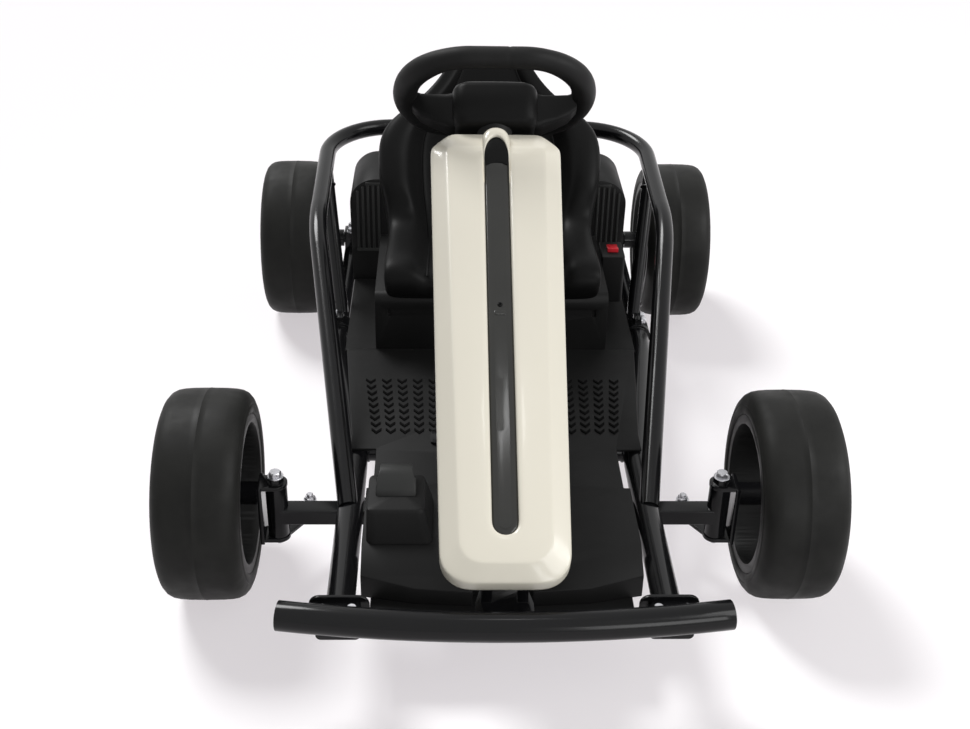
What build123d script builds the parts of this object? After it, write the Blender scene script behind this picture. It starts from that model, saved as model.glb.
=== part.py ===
"""Children's electric go-kart on four slick tyres.

A ladder frame of round tube carries a moulded floor panel, a bucket seat on a
battery box, a sloping hollow cowl over the steering column, side tubes that
rise to a hoop behind the seat, and a bowed front bumper.

Sizes are in millimetres. +Z is up, the kart faces -Y, and its left side is +X.
The origin is on the floor, in the middle of the kart's length and width.
"""

from build123d import *
from math import atan2, cos, hypot, radians, sin, tan
import os

# Wheels and where they stand
TYRE_RADIUS = 127.0
TYRE_WIDTH = 100.0
TYRE_SHOULDER = 18.0
TYRE_CROWN = 1.5
RIM_RADIUS = 96.0
RIM_FLANGE = 4.0
RIM_SEAT_DEPTH = 6.0
RIM_WALL = 7.0
RIM_DISC = 7.0
RIM_SPOKES = 5
HUB_RADIUS = 24.0
HUB_INNER = 20.0
HUB_OUTER = 42.0
WHEELBASE = 714.0
FRONT_TRACK = 692.0
REAR_TRACK = 620.0
FRONT_OVERHANG = 244.5
AXLE_RADIUS = 8.0
RUNNING_FIT = 0.08
SEAT_GAP = 0.3

# Frame tubes
RAIL_RADIUS = 16.0
RAIL_X = 180.0
RAIL_REAR_X = 222.0
RAIL_DROP = 22.0
RAIL_BEND = 400.0
RAIL_SOCKET = 60.0
COLLAR_RADIUS = 20.0
COLLAR_LENGTH = 28.0
EXTENSION_RADIUS = 12.5
EXTENSION_TAIL = 56.0
TAIL_STEP = 1.0
CROSS_RADIUS = 12.5
CROSS_REAR_RADIUS = 10.0
BEAM_DEPTH = 24.0
BEAM_HEIGHT = 21.0
BEAM_DROP = 29.5
BUMPER_RADIUS = 16.5
BUMPER_HALF = 244.0
BUMPER_BOW = 19.0
BUMPER_DROP = 7.0
SIDE_TUBE_RADIUS = 12.5
STRUT_RADIUS = 10.0

# Steering
KINGPIN_X = 268.0
KINGPIN_RADIUS = 6.0
SLEEVE_RADIUS = 13.0
SLEEVE_UP = 41.0
SLEEVE_DOWN = 30.0
EAR_THICKNESS = 5.0
EAR_GAP = 0.5
ARM_REACH_X = 34.0
ARM_REACH_Y = 45.0
ARM_PIN_RADIUS = 4.0
COLUMN_ANGLE = 42.0
COLUMN_RADIUS = 8.0
CRANK_LENGTH = 30.0
CRANK_THICKNESS = 5.0
CRANK_STUD_RADIUS = 3.0
ROD_RADIUS = 4.0
RING_RADIUS = 11.5
RING_BORE = 8.0
RING_THICKNESS = 6.0
RING_STACK = 10.0
RIM_TUBE_RADIUS = 14.0
STEERING_HALF_WIDTH = 122.0
STEERING_HALF_HEIGHT = 96.0

# Body
FLOOR_THICKNESS = 4.0
COWL_SIDE = 18.0
COWL_BEVEL = 12.0
COWL_INSET = 16.0
COWL_TOE_HALF = 68.0
COWL_HEAD_HALF = 86.0
COWL_WALL = 3.0
SLOT_TOE_HALF = 13.0
SLOT_HEAD_HALF = 17.0
SEAT_HALF = 160.0
BOX_HALF = 165.0
BOX_HEIGHT = 94.0
COVER_WALL = 3.0

# Places along the kart, measured back from the front axle
FLANGE_AT = -190.0
NOSE_CREASE_AT = -92.0
NOSE_EDGE_AT = -172.0
FLOOR_END_AT = WHEELBASE - 364
RAIL_STRAIGHT_TO = 110.0
RAIL_SPLAYED_AT = WHEELBASE - 334
CROSS_FRONT_AT = 120.0
CROSS_MIDDLE_AT = WHEELBASE - 314
CROSS_REAR_AT = WHEELBASE - 54
COLLAR_AT = WHEELBASE - 278
HOOP_FROM = WHEELBASE - 84
COVER_FROM = WHEELBASE - 139
COVER_TO = WHEELBASE - 16
STEERING_HUB_AT = 440.0
COLUMN_FOOT_AT = 34.0

FRONT_Y = -(WHEELBASE + TYRE_RADIUS - FRONT_OVERHANG) / 2
AXLE_Z = TYRE_RADIUS
RAIL_Z = AXLE_Z - RAIL_DROP
BEAM_Z = AXLE_Z - BEAM_DROP
BUMPER_Z = AXLE_Z - BUMPER_DROP
FLOOR_UNDER = RAIL_Z + RAIL_RADIUS
FLOOR_TOP = FLOOR_UNDER + FLOOR_THICKNESS
COLLAR_END = COLLAR_AT + COLLAR_LENGTH / 2

SIDES = {"right": -1, "left": 1}

os.makedirs("parts", exist_ok=True)


def place(x, back, z):
    """A point given by its distance behind the front axle."""
    return (x, FRONT_Y + back, z)


def on_side(point, side):
    """The same on one side of the kart, for a point given on its left side."""
    x, back, z = point
    return place(side * x, back, z)


def across(back):
    """An upright plane across the kart, facing forwards: x to the left and y up."""
    return Plane(origin=place(0, back, 0), x_dir=(1, 0, 0), z_dir=(0, -1, 0))


def lengthwise(x):
    """An upright plane along the kart: x is the distance behind the front axle and y is up."""
    return Plane(origin=place(x, 0, 0), x_dir=(0, 1, 0), z_dir=(1, 0, 0))


def level(z):
    """A level plane: x to the left, and y the distance behind the front axle."""
    return Plane(origin=place(0, 0, z), x_dir=(1, 0, 0), z_dir=(0, 0, 1))


def both_sides(points):
    """A closed outline from its left half, whose ends are joined straight to the mirrored ones."""
    return [*points, *((-x, y) for x, y in reversed(points))]


# Wheels: a slick foam tyre on a deep moulded rim, the same at all four corners

RIM_SEAT = RIM_RADIUS - RIM_SEAT_DEPTH
RIM_EDGE = TYRE_WIDTH / 2 - 2
RIM_INSIDE = RIM_SEAT - RIM_WALL
DISC_AT = 20.0
DISC_CONE = 14.0
BORE_DEPTH = HUB_OUTER - 12
BEAD_CHAMFER = 6.0

CORNERS = {
    # corner: (side, half track, wheel centre along the kart)
    "front_right": (-1, FRONT_TRACK / 2, 0),
    "front_left": (1, FRONT_TRACK / 2, 0),
    "rear_right": (-1, REAR_TRACK / 2, WHEELBASE),
    "rear_left": (1, REAR_TRACK / 2, WHEELBASE),
}

for corner, (side, half_track, wheel_at) in CORNERS.items():
    centre = place(side * half_track, wheel_at, AXLE_Z)
    section = Plane(origin=centre, x_dir=(side, 0, 0), z_dir=(0, side, 0))
    axle_line = Axis(centre, (1, 0, 0))

    half = TYRE_WIDTH / 2
    flat = half - TYRE_SHOULDER
    crown = TYRE_RADIUS - TYRE_CROWN
    cut = TYRE_SHOULDER * (1 - cos(radians(45)))
    bead = RIM_EDGE - RIM_FLANGE
    with BuildPart() as tyre:
        with BuildSketch(section):
            with BuildLine():
                Polyline(
                    (-half, TYRE_SHOULDER - crown), (-half, -RIM_RADIUS - BEAD_CHAMFER),
                    (-RIM_EDGE, -RIM_RADIUS), (-bead, -RIM_RADIUS), (-bead, -RIM_SEAT),
                    (bead, -RIM_SEAT), (bead, -RIM_RADIUS), (RIM_EDGE, -RIM_RADIUS),
                    (half, -RIM_RADIUS - BEAD_CHAMFER), (half, TYRE_SHOULDER - crown),
                )
                ThreePointArc((half, TYRE_SHOULDER - crown), (half - cut, cut - crown), (flat, -crown))
                ThreePointArc((flat, -crown), (0, -TYRE_RADIUS), (-flat, -crown))
                ThreePointArc((-flat, -crown), (cut - half, cut - crown), (-half, TYRE_SHOULDER - crown))
            make_face()
        revolve(axis=axle_line)
    tyre.part.label = f"{corner}_tyre"
    export_step(tyre.part, f"parts/{corner}_tyre.step")

    bore = AXLE_RADIUS + RUNNING_FIT
    with BuildPart() as rim:
        with BuildSketch(section):
            Polygon(
                (-RIM_EDGE, -RIM_RADIUS), (-bead, -RIM_RADIUS), (-bead, -RIM_SEAT), (bead, -RIM_SEAT),
                (bead, -RIM_RADIUS), (RIM_EDGE, -RIM_RADIUS), (RIM_EDGE, 4 - RIM_RADIUS),
                (DISC_AT + RIM_DISC, -RIM_INSIDE), (DISC_AT + DISC_CONE + RIM_DISC, -HUB_RADIUS),
                (HUB_OUTER, 5 - HUB_RADIUS), (HUB_OUTER, 0), (BORE_DEPTH, 0), (BORE_DEPTH, -bore),
                (-HUB_INNER, -bore), (-HUB_INNER, 6 - HUB_RADIUS), (DISC_AT + DISC_CONE - 6, -HUB_RADIUS),
                (DISC_AT, -RIM_INSIDE), (-RIM_EDGE, -RIM_INSIDE - 2),
                align=None,
            )
        revolve(axis=axle_line)
        disc = Plane(origin=centre, x_dir=(0, 1, 0), z_dir=(side, 0, 0))
        with BuildSketch(disc.offset(DISC_AT - 10)):
            with PolarLocations(0, RIM_SPOKES, start_angle=90):
                Polygon(
                    (34, -5), (38, -15), (66, -33), (76, -24), (79, 0), (76, 24), (66, 33), (38, 15), (34, 5),
                    align=None,
                )
            with PolarLocations(0, RIM_SPOKES, start_angle=90 + 180 / RIM_SPOKES):
                Polygon((46, -3), (74, -6), (76, 0), (74, 6), (46, 3), align=None)
        extrude(amount=HUB_OUTER, mode=Mode.SUBTRACT)
    rim.part.label = f"{corner}_rim"
    export_step(rim.part, f"parts/{corner}_rim.step")


# Lower frame: two rails that splay behind the driver's feet and end in clamp collars

RAIL_COURSE = [
    (RAIL_X, FLANGE_AT, RAIL_Z),
    (RAIL_X, RAIL_STRAIGHT_TO, RAIL_Z),
    (RAIL_REAR_X, RAIL_SPLAYED_AT, RAIL_Z),
    (RAIL_REAR_X, COLLAR_END, RAIL_Z),
]
FLANGE_WIDTH = 66.0
FLANGE_HEIGHT = 44.0
FLANGE_THICKNESS = 4.0
SLIDE_FIT = 0.3
LUG_WIDTH = 10.0
LUG_HEIGHT = 8.0

rails = []
for name, side in SIDES.items():
    with BuildPart() as lower_rail:
        with BuildLine() as course:
            FilletPolyline(*(on_side(point, side) for point in RAIL_COURSE), radius=RAIL_BEND)
        with BuildSketch(Plane(origin=course.line @ 0, z_dir=course.line % 0)):
            Circle(RAIL_RADIUS)
        sweep()
        with BuildSketch(across(FLANGE_AT)):
            with Locations((side * RAIL_X, RAIL_Z + 2)):
                RectangleRounded(FLANGE_WIDTH, FLANGE_HEIGHT, 12)
        extrude(amount=-FLANGE_THICKNESS)
        with BuildSketch(across(COLLAR_END)):
            with Locations((side * RAIL_REAR_X, RAIL_Z)):
                Circle(COLLAR_RADIUS)
        extrude(amount=COLLAR_LENGTH)
        with BuildSketch(across(COLLAR_END - 4)):
            with Locations((side * RAIL_REAR_X, RAIL_Z + COLLAR_RADIUS)):
                Rectangle(LUG_WIDTH, 2 * LUG_HEIGHT)
        extrude(amount=COLLAR_LENGTH - 8)
        with BuildSketch(across(COLLAR_END)):
            with Locations((side * RAIL_REAR_X, RAIL_Z)):
                Circle(EXTENSION_RADIUS + SLIDE_FIT)
        extrude(amount=RAIL_SOCKET, mode=Mode.SUBTRACT)
    rails.append(lower_rail.part)
    lower_rail.part.label = f"lower_rail_{name}"
    export_step(lower_rail.part, f"parts/lower_rail_{name}.step")

# The sliding rear tubes, each with a saddle block for the rear axle and a narrower tail behind it

SADDLE_LENGTH = 26.0
SADDLE_WIDTH = 22.0
SADDLE_RISE = 16.0
SOCKET_SPACE = 5.0
SADDLE_BACK = WHEELBASE + SADDLE_LENGTH / 2

extensions = []
for name, side in SIDES.items():
    with BuildPart() as extension_tube:
        with BuildSketch(across(SADDLE_BACK)):
            with Locations((side * RAIL_REAR_X, RAIL_Z)):
                Circle(EXTENSION_RADIUS)
        extrude(amount=SADDLE_BACK - COLLAR_END + RAIL_SOCKET - SOCKET_SPACE)
        with BuildSketch(across(WHEELBASE + EXTENSION_TAIL)):
            with Locations((side * RAIL_REAR_X, RAIL_Z)):
                Circle(EXTENSION_RADIUS - TAIL_STEP)
        extrude(amount=WHEELBASE + EXTENSION_TAIL - SADDLE_BACK)
        with BuildSketch(level(RAIL_Z)):
            with Locations((side * RAIL_REAR_X, WHEELBASE)):
                Rectangle(SADDLE_WIDTH, SADDLE_LENGTH)
        extrude(amount=AXLE_Z + SADDLE_RISE - RAIL_Z)
        with BuildSketch(lengthwise(side * RAIL_REAR_X)):
            with Locations((WHEELBASE, AXLE_Z)):
                Circle(AXLE_RADIUS + RUNNING_FIT)
        extrude(amount=SADDLE_WIDTH, both=True, mode=Mode.SUBTRACT)
    extensions.append(extension_tube.part)
    extension_tube.part.label = f"extension_tube_{name}"
    export_step(extension_tube.part, f"parts/extension_tube_{name}.step")

# Cross tubes, coped to the tubes that they are welded between

CROSS_TUBES = {
    # name: (place along the kart, radius, half length before coping, tubes at its ends)
    "cross_tube_front": (CROSS_FRONT_AT, CROSS_RADIUS, RAIL_X, rails),
    "cross_tube_middle": (CROSS_MIDDLE_AT, CROSS_RADIUS, RAIL_REAR_X, rails),
    "cross_tube_rear": (CROSS_REAR_AT, CROSS_REAR_RADIUS, RAIL_REAR_X, extensions),
}

for name, (back, radius, reach, ends) in CROSS_TUBES.items():
    with BuildPart() as cross_tube:
        with BuildSketch(lengthwise(0)):
            with Locations((back, RAIL_Z)):
                Circle(radius)
        extrude(amount=reach, both=True)
        add(ends, mode=Mode.SUBTRACT)
        middle = cross_tube.solids().sort_by(SortBy.VOLUME)[-1]
        add(middle, mode=Mode.REPLACE)
    cross_tube.part.label = name
    export_step(cross_tube.part, f"parts/{name}.step")

# The front axle beam is notched over the rails and ends in two kingpin sleeves

with BuildPart() as front_axle_beam:
    with BuildSketch(lengthwise(0)):
        with Locations((0, BEAM_Z)):
            RectangleRounded(BEAM_DEPTH, BEAM_HEIGHT, 3)
    extrude(amount=KINGPIN_X, both=True)
    add(rails, mode=Mode.SUBTRACT)
    with BuildSketch(level(BEAM_Z - SLEEVE_DOWN)):
        with Locations((KINGPIN_X, 0), (-KINGPIN_X, 0)):
            Circle(SLEEVE_RADIUS)
    extrude(amount=SLEEVE_DOWN + SLEEVE_UP)
    with BuildSketch(level(BEAM_Z - SLEEVE_DOWN)):
        with Locations((KINGPIN_X, 0), (-KINGPIN_X, 0)):
            Circle(KINGPIN_RADIUS + RUNNING_FIT)
    extrude(amount=SLEEVE_DOWN + SLEEVE_UP, mode=Mode.SUBTRACT)
front_axle_beam.part.label = "front_axle_beam"
export_step(front_axle_beam.part, "parts/front_axle_beam.step")

# The bumper is a bowed tube with two saddles that meet the flanges of the rails

BUMPER_AT = BUMPER_RADIUS - FRONT_OVERHANG
BUMPER_RISE = BUMPER_BOW * (RAIL_X / BUMPER_HALF) ** 2
SADDLE_HALF = 24.0

with BuildPart() as front_bumper:
    with BuildLine() as bow:
        ThreePointArc(
            place(-BUMPER_HALF, BUMPER_AT + BUMPER_BOW, BUMPER_Z),
            place(0, BUMPER_AT, BUMPER_Z),
            place(BUMPER_HALF, BUMPER_AT + BUMPER_BOW, BUMPER_Z),
        )
    with BuildSketch(Plane(origin=bow.line @ 0, z_dir=bow.line % 0)):
        Circle(BUMPER_RADIUS)
    sweep()
    with BuildSketch(across(FLANGE_AT)):
        with Locations((RAIL_X, RAIL_Z + 3), (-RAIL_X, RAIL_Z + 3)):
            RectangleRounded(2 * SADDLE_HALF, 30, 6)
    extrude(amount=FLANGE_AT - BUMPER_AT - BUMPER_RISE)
front_bumper.part.label = "front_bumper"
export_step(front_bumper.part, "parts/front_bumper.step")

# Side tubes rise from the rails to a hoop that goes round behind the seat

SIDE_FOOT = (RAIL_X + 2, -8, RAIL_Z + 7)
SIDE_BEND = (248.0, WHEELBASE - 294, AXLE_Z + 163)
HOOP_CORNER = (250.0, WHEELBASE + 28, AXLE_Z + 185)
SIDE_BEND_RADIUS = 260.0
HOOP_BEND_RADIUS = 100.0
STRUT_FOOT = (RAIL_REAR_X, COLLAR_END + 26, RAIL_Z)
STRUT_TOP_AT = WHEELBASE - 114


def along_side_tube(back):
    """The point of the straight upper run that lies this far back."""
    share = (back - SIDE_BEND[1]) / (HOOP_CORNER[1] - SIDE_BEND[1])
    return tuple(a + share * (b - a) for a, b in zip(SIDE_BEND, HOOP_CORNER))


HOOP_START = along_side_tube(HOOP_FROM)

for number, (name, side) in enumerate(SIDES.items()):
    with BuildPart() as side_tube:
        with BuildLine() as course:
            FilletPolyline(
                *(on_side(point, side) for point in (SIDE_FOOT, SIDE_BEND, HOOP_START)),
                radius=SIDE_BEND_RADIUS,
            )
        with BuildSketch(Plane(origin=course.line @ 0, z_dir=course.line % 0)):
            Circle(SIDE_TUBE_RADIUS)
        sweep()
        add(rails[number], mode=Mode.SUBTRACT)
    side_tube.part.label = f"side_tube_{name}"
    export_step(side_tube.part, f"parts/side_tube_{name}.step")

    with BuildPart() as hoop_strut:
        with BuildLine() as course:
            Line(on_side(STRUT_FOOT, side), on_side(along_side_tube(STRUT_TOP_AT), side))
        with BuildSketch(Plane(origin=course.line @ 0, z_dir=course.line % 0)):
            Circle(STRUT_RADIUS)
        sweep()
        add(extensions[number], mode=Mode.SUBTRACT)
        add(side_tube.part, mode=Mode.SUBTRACT)
    hoop_strut.part.label = f"hoop_strut_{name}"
    export_step(hoop_strut.part, f"parts/hoop_strut_{name}.step")

with BuildPart() as seat_hoop:
    with BuildLine() as course:
        FilletPolyline(
            on_side(HOOP_START, -1), on_side(HOOP_CORNER, -1),
            on_side(HOOP_CORNER, 1), on_side(HOOP_START, 1), radius=HOOP_BEND_RADIUS,
        )
    with BuildSketch(Plane(origin=course.line @ 0, z_dir=course.line % 0)):
        Circle(SIDE_TUBE_RADIUS)
    sweep()
seat_hoop.part.label = "seat_hoop"
export_step(seat_hoop.part, "parts/seat_hoop.step")

# Cowl: a hollow cover on a slope, wider at its head, with bevelled edges and a long slot

COWL_TOE = (-196.0, AXLE_Z + 33)
COWL_HEAD = (400.0, AXLE_Z + 319)
COWL_LENGTH = hypot(COWL_HEAD[0] - COWL_TOE[0], COWL_HEAD[1] - COWL_TOE[1])
COWL_SLOPE = atan2(COWL_HEAD[1] - COWL_TOE[1], COWL_HEAD[0] - COWL_TOE[0])
COWL_TOE_CORNER = 34.0
COWL_HEAD_CUT = 24.0
SLOT_TOE_AT = 48.0
SLOT_HEAD_AT = COWL_LENGTH - 38
STRIP_RECESS = 2.0
STRIP_FLANGE = 6.0
STRIP_THICKNESS = 2.0
NUB_HEIGHT = 9.0
NUB_WALL = 6.0
NUB_LENGTH = 52.0
NUB_SLOPE_LENGTH = 75.0


def cowl_plane(height):
    """On the cowl's slope: x to the left, y up the slope, height above the edge under its bevel."""
    toe = place(0, *COWL_TOE)
    return Plane(origin=toe, x_dir=(1, 0, 0), z_dir=(0, -sin(COWL_SLOPE), cos(COWL_SLOPE))).offset(height)


def cowl_point(along, height):
    """A point over the cowl's middle line, as (distance back, height)."""
    back = COWL_TOE[0] + along * cos(COWL_SLOPE) - height * sin(COWL_SLOPE)
    return (back, COWL_TOE[1] + along * sin(COWL_SLOPE) + height * cos(COWL_SLOPE))


def draw_cowl(inset):
    """The cowl's plan, drawn into the sketch that is open: round at the toe, cut corners at the head."""
    toe = COWL_TOE_HALF - inset
    head = COWL_HEAD_HALF - inset
    end = COWL_LENGTH - inset
    round_toe = COWL_TOE_CORNER - inset * 0.7
    with BuildLine() as outline:
        FilletPolyline(
            (-toe, inset), (toe, inset), (head, end - COWL_HEAD_CUT), (head - COWL_HEAD_CUT, end),
            (COWL_HEAD_CUT - head, end), (-head, end - COWL_HEAD_CUT),
            radius=[round_toe, round_toe, 5, 5, 5, 5], close=True,
        )
    make_face(outline.edges())


def draw_slot(grow):
    """The slot's plan: two round ends and the taper between them."""
    toe = SLOT_TOE_HALF + grow
    head = SLOT_HEAD_HALF + grow
    low = SLOT_TOE_AT + SLOT_TOE_HALF
    high = SLOT_HEAD_AT - SLOT_HEAD_HALF
    Polygon((-toe, low), (toe, low), (head, high), (-head, high), align=None)
    with Locations((0, low)):
        Circle(toe)
    with Locations((0, high)):
        Circle(head)


STEERING_HUB_Z = AXLE_Z + 347
COLUMN_SLOPE = radians(COLUMN_ANGLE)
HUB_BACK = 24.0
COLUMN_CLEARANCE = 5.0


def on_column(along):
    """A point of the column's axis, as (distance back, height), measured from the steering wheel's middle."""
    return (STEERING_HUB_AT + along * cos(COLUMN_SLOPE), STEERING_HUB_Z + along * sin(COLUMN_SLOPE))


def column_plane(along):
    """Across the column, facing down it: x to the left and y up the steering wheel."""
    middle = place(0, *on_column(along))
    return Plane(origin=middle, x_dir=(1, 0, 0), z_dir=(0, -cos(COLUMN_SLOPE), -sin(COLUMN_SLOPE)))


with BuildPart() as front_cowl:
    with BuildSketch(cowl_plane(-COWL_SIDE)):
        draw_cowl(0)
    extrude(amount=COWL_SIDE)
    with BuildSketch(cowl_plane(0)):
        draw_cowl(0)
    with BuildSketch(cowl_plane(COWL_BEVEL)):
        draw_cowl(COWL_INSET)
    loft()
    with BuildSketch(cowl_plane(-COWL_SIDE)):
        draw_cowl(COWL_WALL)
    extrude(amount=COWL_SIDE, mode=Mode.SUBTRACT)
    with BuildSketch(cowl_plane(0)):
        draw_cowl(COWL_WALL)
    with BuildSketch(cowl_plane(COWL_BEVEL - COWL_WALL)):
        draw_cowl(COWL_INSET + 1)
    loft(mode=Mode.SUBTRACT)
    with BuildSketch(cowl_plane(COWL_BEVEL)):
        with Locations((0, SLOT_HEAD_AT - SLOT_HEAD_HALF)):
            Circle(SLOT_HEAD_HALF + NUB_WALL)
        with Locations((0, SLOT_HEAD_AT - SLOT_HEAD_HALF - NUB_LENGTH / 2)):
            Rectangle(2 * (SLOT_HEAD_HALF + NUB_WALL), NUB_LENGTH)
    extrude(amount=NUB_HEIGHT)
    with BuildSketch(lengthwise(0)):
        Polygon(
            cowl_point(SLOT_HEAD_AT - NUB_SLOPE_LENGTH, COWL_BEVEL),
            cowl_point(SLOT_HEAD_AT, COWL_BEVEL + NUB_HEIGHT),
            cowl_point(SLOT_HEAD_AT - NUB_SLOPE_LENGTH, COWL_BEVEL + 2 * NUB_HEIGHT),
            align=None,
        )
    extrude(amount=2 * SLOT_HEAD_HALF, both=True, mode=Mode.SUBTRACT)
    with BuildSketch(cowl_plane(COWL_BEVEL - 2 * COWL_WALL)):
        draw_slot(0)
    extrude(amount=2 * COWL_WALL + 2 * NUB_HEIGHT, mode=Mode.SUBTRACT)
    with BuildSketch(column_plane(-HUB_BACK)):
        Circle(COLUMN_RADIUS + COLUMN_CLEARANCE)
    extrude(amount=70, mode=Mode.SUBTRACT)
front_cowl.part.label = "front_cowl"
export_step(front_cowl.part, "parts/front_cowl.step")

with BuildPart() as cowl_strip:
    with BuildSketch(cowl_plane(COWL_BEVEL - COWL_WALL)):
        draw_slot(STRIP_FLANGE)
    extrude(amount=-STRIP_THICKNESS)
    with BuildSketch(cowl_plane(COWL_BEVEL - COWL_WALL)):
        draw_slot(-SEAT_GAP)
    extrude(amount=COWL_WALL - STRIP_RECESS)
cowl_strip.part.label = "cowl_strip"
export_step(cowl_strip.part, "parts/cowl_strip.step")

# A forked bracket behind the bumper holds the cowl's toe

PRONG_AT = -180.0
PRONG_X = 20.0
PRONG_WIDTH = 12.0
PRONG_DEPTH = 9.0
BRACKET_HALF = 32.0
BRACKET_THICKNESS = 6.0
BRACKET_DROP = 14.0


def cowl_underside(back):
    """Height of the cowl's inner face over its middle line."""
    start, height = cowl_point(0, COWL_BEVEL - COWL_WALL)
    return height + (back - start) * tan(COWL_SLOPE)


with BuildPart() as cowl_bracket:
    low = BUMPER_Z - BRACKET_DROP
    with BuildSketch(level(low)):
        Polygon(
            *both_sides([
                (BRACKET_HALF, BUMPER_AT), (BRACKET_HALF, PRONG_AT), (BRACKET_HALF - 6, PRONG_AT + 26),
            ]),
            align=None,
        )
    extrude(amount=BRACKET_THICKNESS)
    add(front_bumper.part, mode=Mode.SUBTRACT)
    for x in (-PRONG_X, PRONG_X):
        with BuildSketch(lengthwise(x)):
            Polygon(
                (PRONG_AT, low), (PRONG_AT + PRONG_DEPTH, low),
                (PRONG_AT + PRONG_DEPTH, cowl_underside(PRONG_AT + PRONG_DEPTH)),
                (PRONG_AT, cowl_underside(PRONG_AT)),
                align=None,
            )
        extrude(amount=PRONG_WIDTH / 2, both=True)
cowl_bracket.part.label = "cowl_bracket"
export_step(cowl_bracket.part, "parts/cowl_bracket.step")

# Steering column with the crank plate and its stud at the foot

COLUMN_FOOT = (COLUMN_FOOT_AT - STEERING_HUB_AT) / cos(COLUMN_SLOPE)
STUD_HALF = RING_STACK + RING_THICKNESS

with BuildPart() as steering_column:
    with BuildSketch(column_plane(COLUMN_FOOT)):
        Circle(COLUMN_RADIUS)
    extrude(amount=COLUMN_FOOT + HUB_BACK)
    with BuildSketch(column_plane(COLUMN_FOOT - CRANK_THICKNESS / 2)):
        Polygon((-11, 8), (-6, 12), (6, 12), (11, 8), (7, -CRANK_LENGTH), (-7, -CRANK_LENGTH), align=None)
        with Locations((0, -CRANK_LENGTH)):
            Circle(7)
    extrude(amount=-CRANK_THICKNESS)
    with BuildSketch(column_plane(COLUMN_FOOT)):
        with Locations((0, -CRANK_LENGTH)):
            Circle(CRANK_STUD_RADIUS)
    extrude(amount=STUD_HALF, both=True)
steering_column.part.label = "steering_column"
export_step(steering_column.part, "parts/steering_column.step")

# The steering wheel: a thick D-shaped rim, wide spokes and a boxy centre

RIM_CORNERS = [
    # share of the half width, share of the half height
    (-0.66, 1.0), (0.66, 1.0), (1.0, 0.42), (0.98, -0.4),
    (0.62, -1.0), (-0.62, -1.0), (-0.98, -0.4), (-1.0, 0.42),
]
RIM_BEND = 42.0
SPOKE_REACH = 0.97 * STEERING_HALF_WIDTH
SPOKE_THICKNESS = 14.0

with BuildPart() as steering_rim:
    with BuildLine(column_plane(0)) as ring:
        FilletPolyline(
            *((x * STEERING_HALF_WIDTH, y * STEERING_HALF_HEIGHT) for x, y in RIM_CORNERS),
            radius=RIM_BEND, close=True,
        )
    with BuildSketch(Plane(origin=ring.line @ 0, z_dir=ring.line % 0)):
        Circle(RIM_TUBE_RADIUS)
    sweep()
steering_rim.part.label = "steering_rim"
export_step(steering_rim.part, "parts/steering_rim.step")

with BuildPart() as steering_hub:
    with BuildSketch(column_plane(SPOKE_THICKNESS / 2)):
        Polygon(
            (-SPOKE_REACH, 10), (SPOKE_REACH, 10), (SPOKE_REACH, -34), (60, -50), (40, -60),
            (34, -STEERING_HALF_HEIGHT), (-34, -STEERING_HALF_HEIGHT), (-40, -60), (-60, -50),
            (-SPOKE_REACH, -34),
            align=None,
        )
    extrude(amount=SPOKE_THICKNESS)
    with BuildSketch(column_plane(-HUB_BACK)):
        with Locations((0, -6)):
            RectangleRounded(100, 64, 14)
    with BuildSketch(column_plane(14)):
        with Locations((0, -6)):
            RectangleRounded(112, 74, 18)
    loft()
    add(steering_rim.part, mode=Mode.SUBTRACT)
    middle = steering_hub.solids().sort_by(SortBy.VOLUME)[-1]
    add(middle, mode=Mode.REPLACE)
steering_hub.part.label = "steering_hub"
export_step(steering_hub.part, "parts/steering_hub.step")

# Column support: a bearing under the cowl, on two legs that stand over the front cross tube

BEARING_AT = -150.0
BEARING_RADIUS = 14.0
BEARING_HALF = 18.0
LEG_RADIUS = 7.0
LEG_X = 62.0
LEG_TOP_X = 8.0
FOOT_THICKNESS = 4.0
PAD_WIDTH = 36.0
PAD_LENGTH = 16.0

with BuildPart() as column_support:
    bearing_back, bearing_z = on_column(BEARING_AT)
    for side in SIDES.values():
        with BuildLine() as leg:
            Line(
                place(side * LEG_X, CROSS_FRONT_AT, FLOOR_TOP),
                place(side * LEG_TOP_X, bearing_back, bearing_z - 6),
            )
        with BuildSketch(Plane(origin=leg.line @ 0, z_dir=leg.line % 0)):
            Circle(LEG_RADIUS)
        sweep()
        with BuildSketch(level(FLOOR_TOP)):
            with Locations((side * LEG_X, CROSS_FRONT_AT)):
                RectangleRounded(44, 30, 6)
        extrude(amount=FOOT_THICKNESS)
    with BuildSketch(column_plane(BEARING_AT)):
        Circle(BEARING_RADIUS)
    extrude(amount=BEARING_HALF, both=True)
    pad_plane = cowl_plane(COWL_BEVEL - COWL_WALL - STRIP_THICKNESS)
    bearing = pad_plane.to_local_coords(Vector(*place(0, bearing_back, bearing_z)))
    with BuildSketch(pad_plane):
        with Locations((0, bearing.Y)):
            Rectangle(PAD_WIDTH, PAD_LENGTH)
    extrude(amount=bearing.Z)
    with BuildSketch(column_plane(BEARING_AT)):
        Circle(COLUMN_RADIUS + RUNNING_FIT)
    extrude(amount=4 * BEARING_HALF, both=True, mode=Mode.SUBTRACT)
    with BuildSketch(level(FLOOR_TOP)):
        with Locations((0, CROSS_FRONT_AT)):
            Rectangle(4 * LEG_X, 120)
    extrude(amount=-4 * LEG_RADIUS, mode=Mode.SUBTRACT)
column_support.part.label = "column_support"
export_step(column_support.part, "parts/column_support.step")

# Knuckles turn on the kingpins and carry the front wheels

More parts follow.
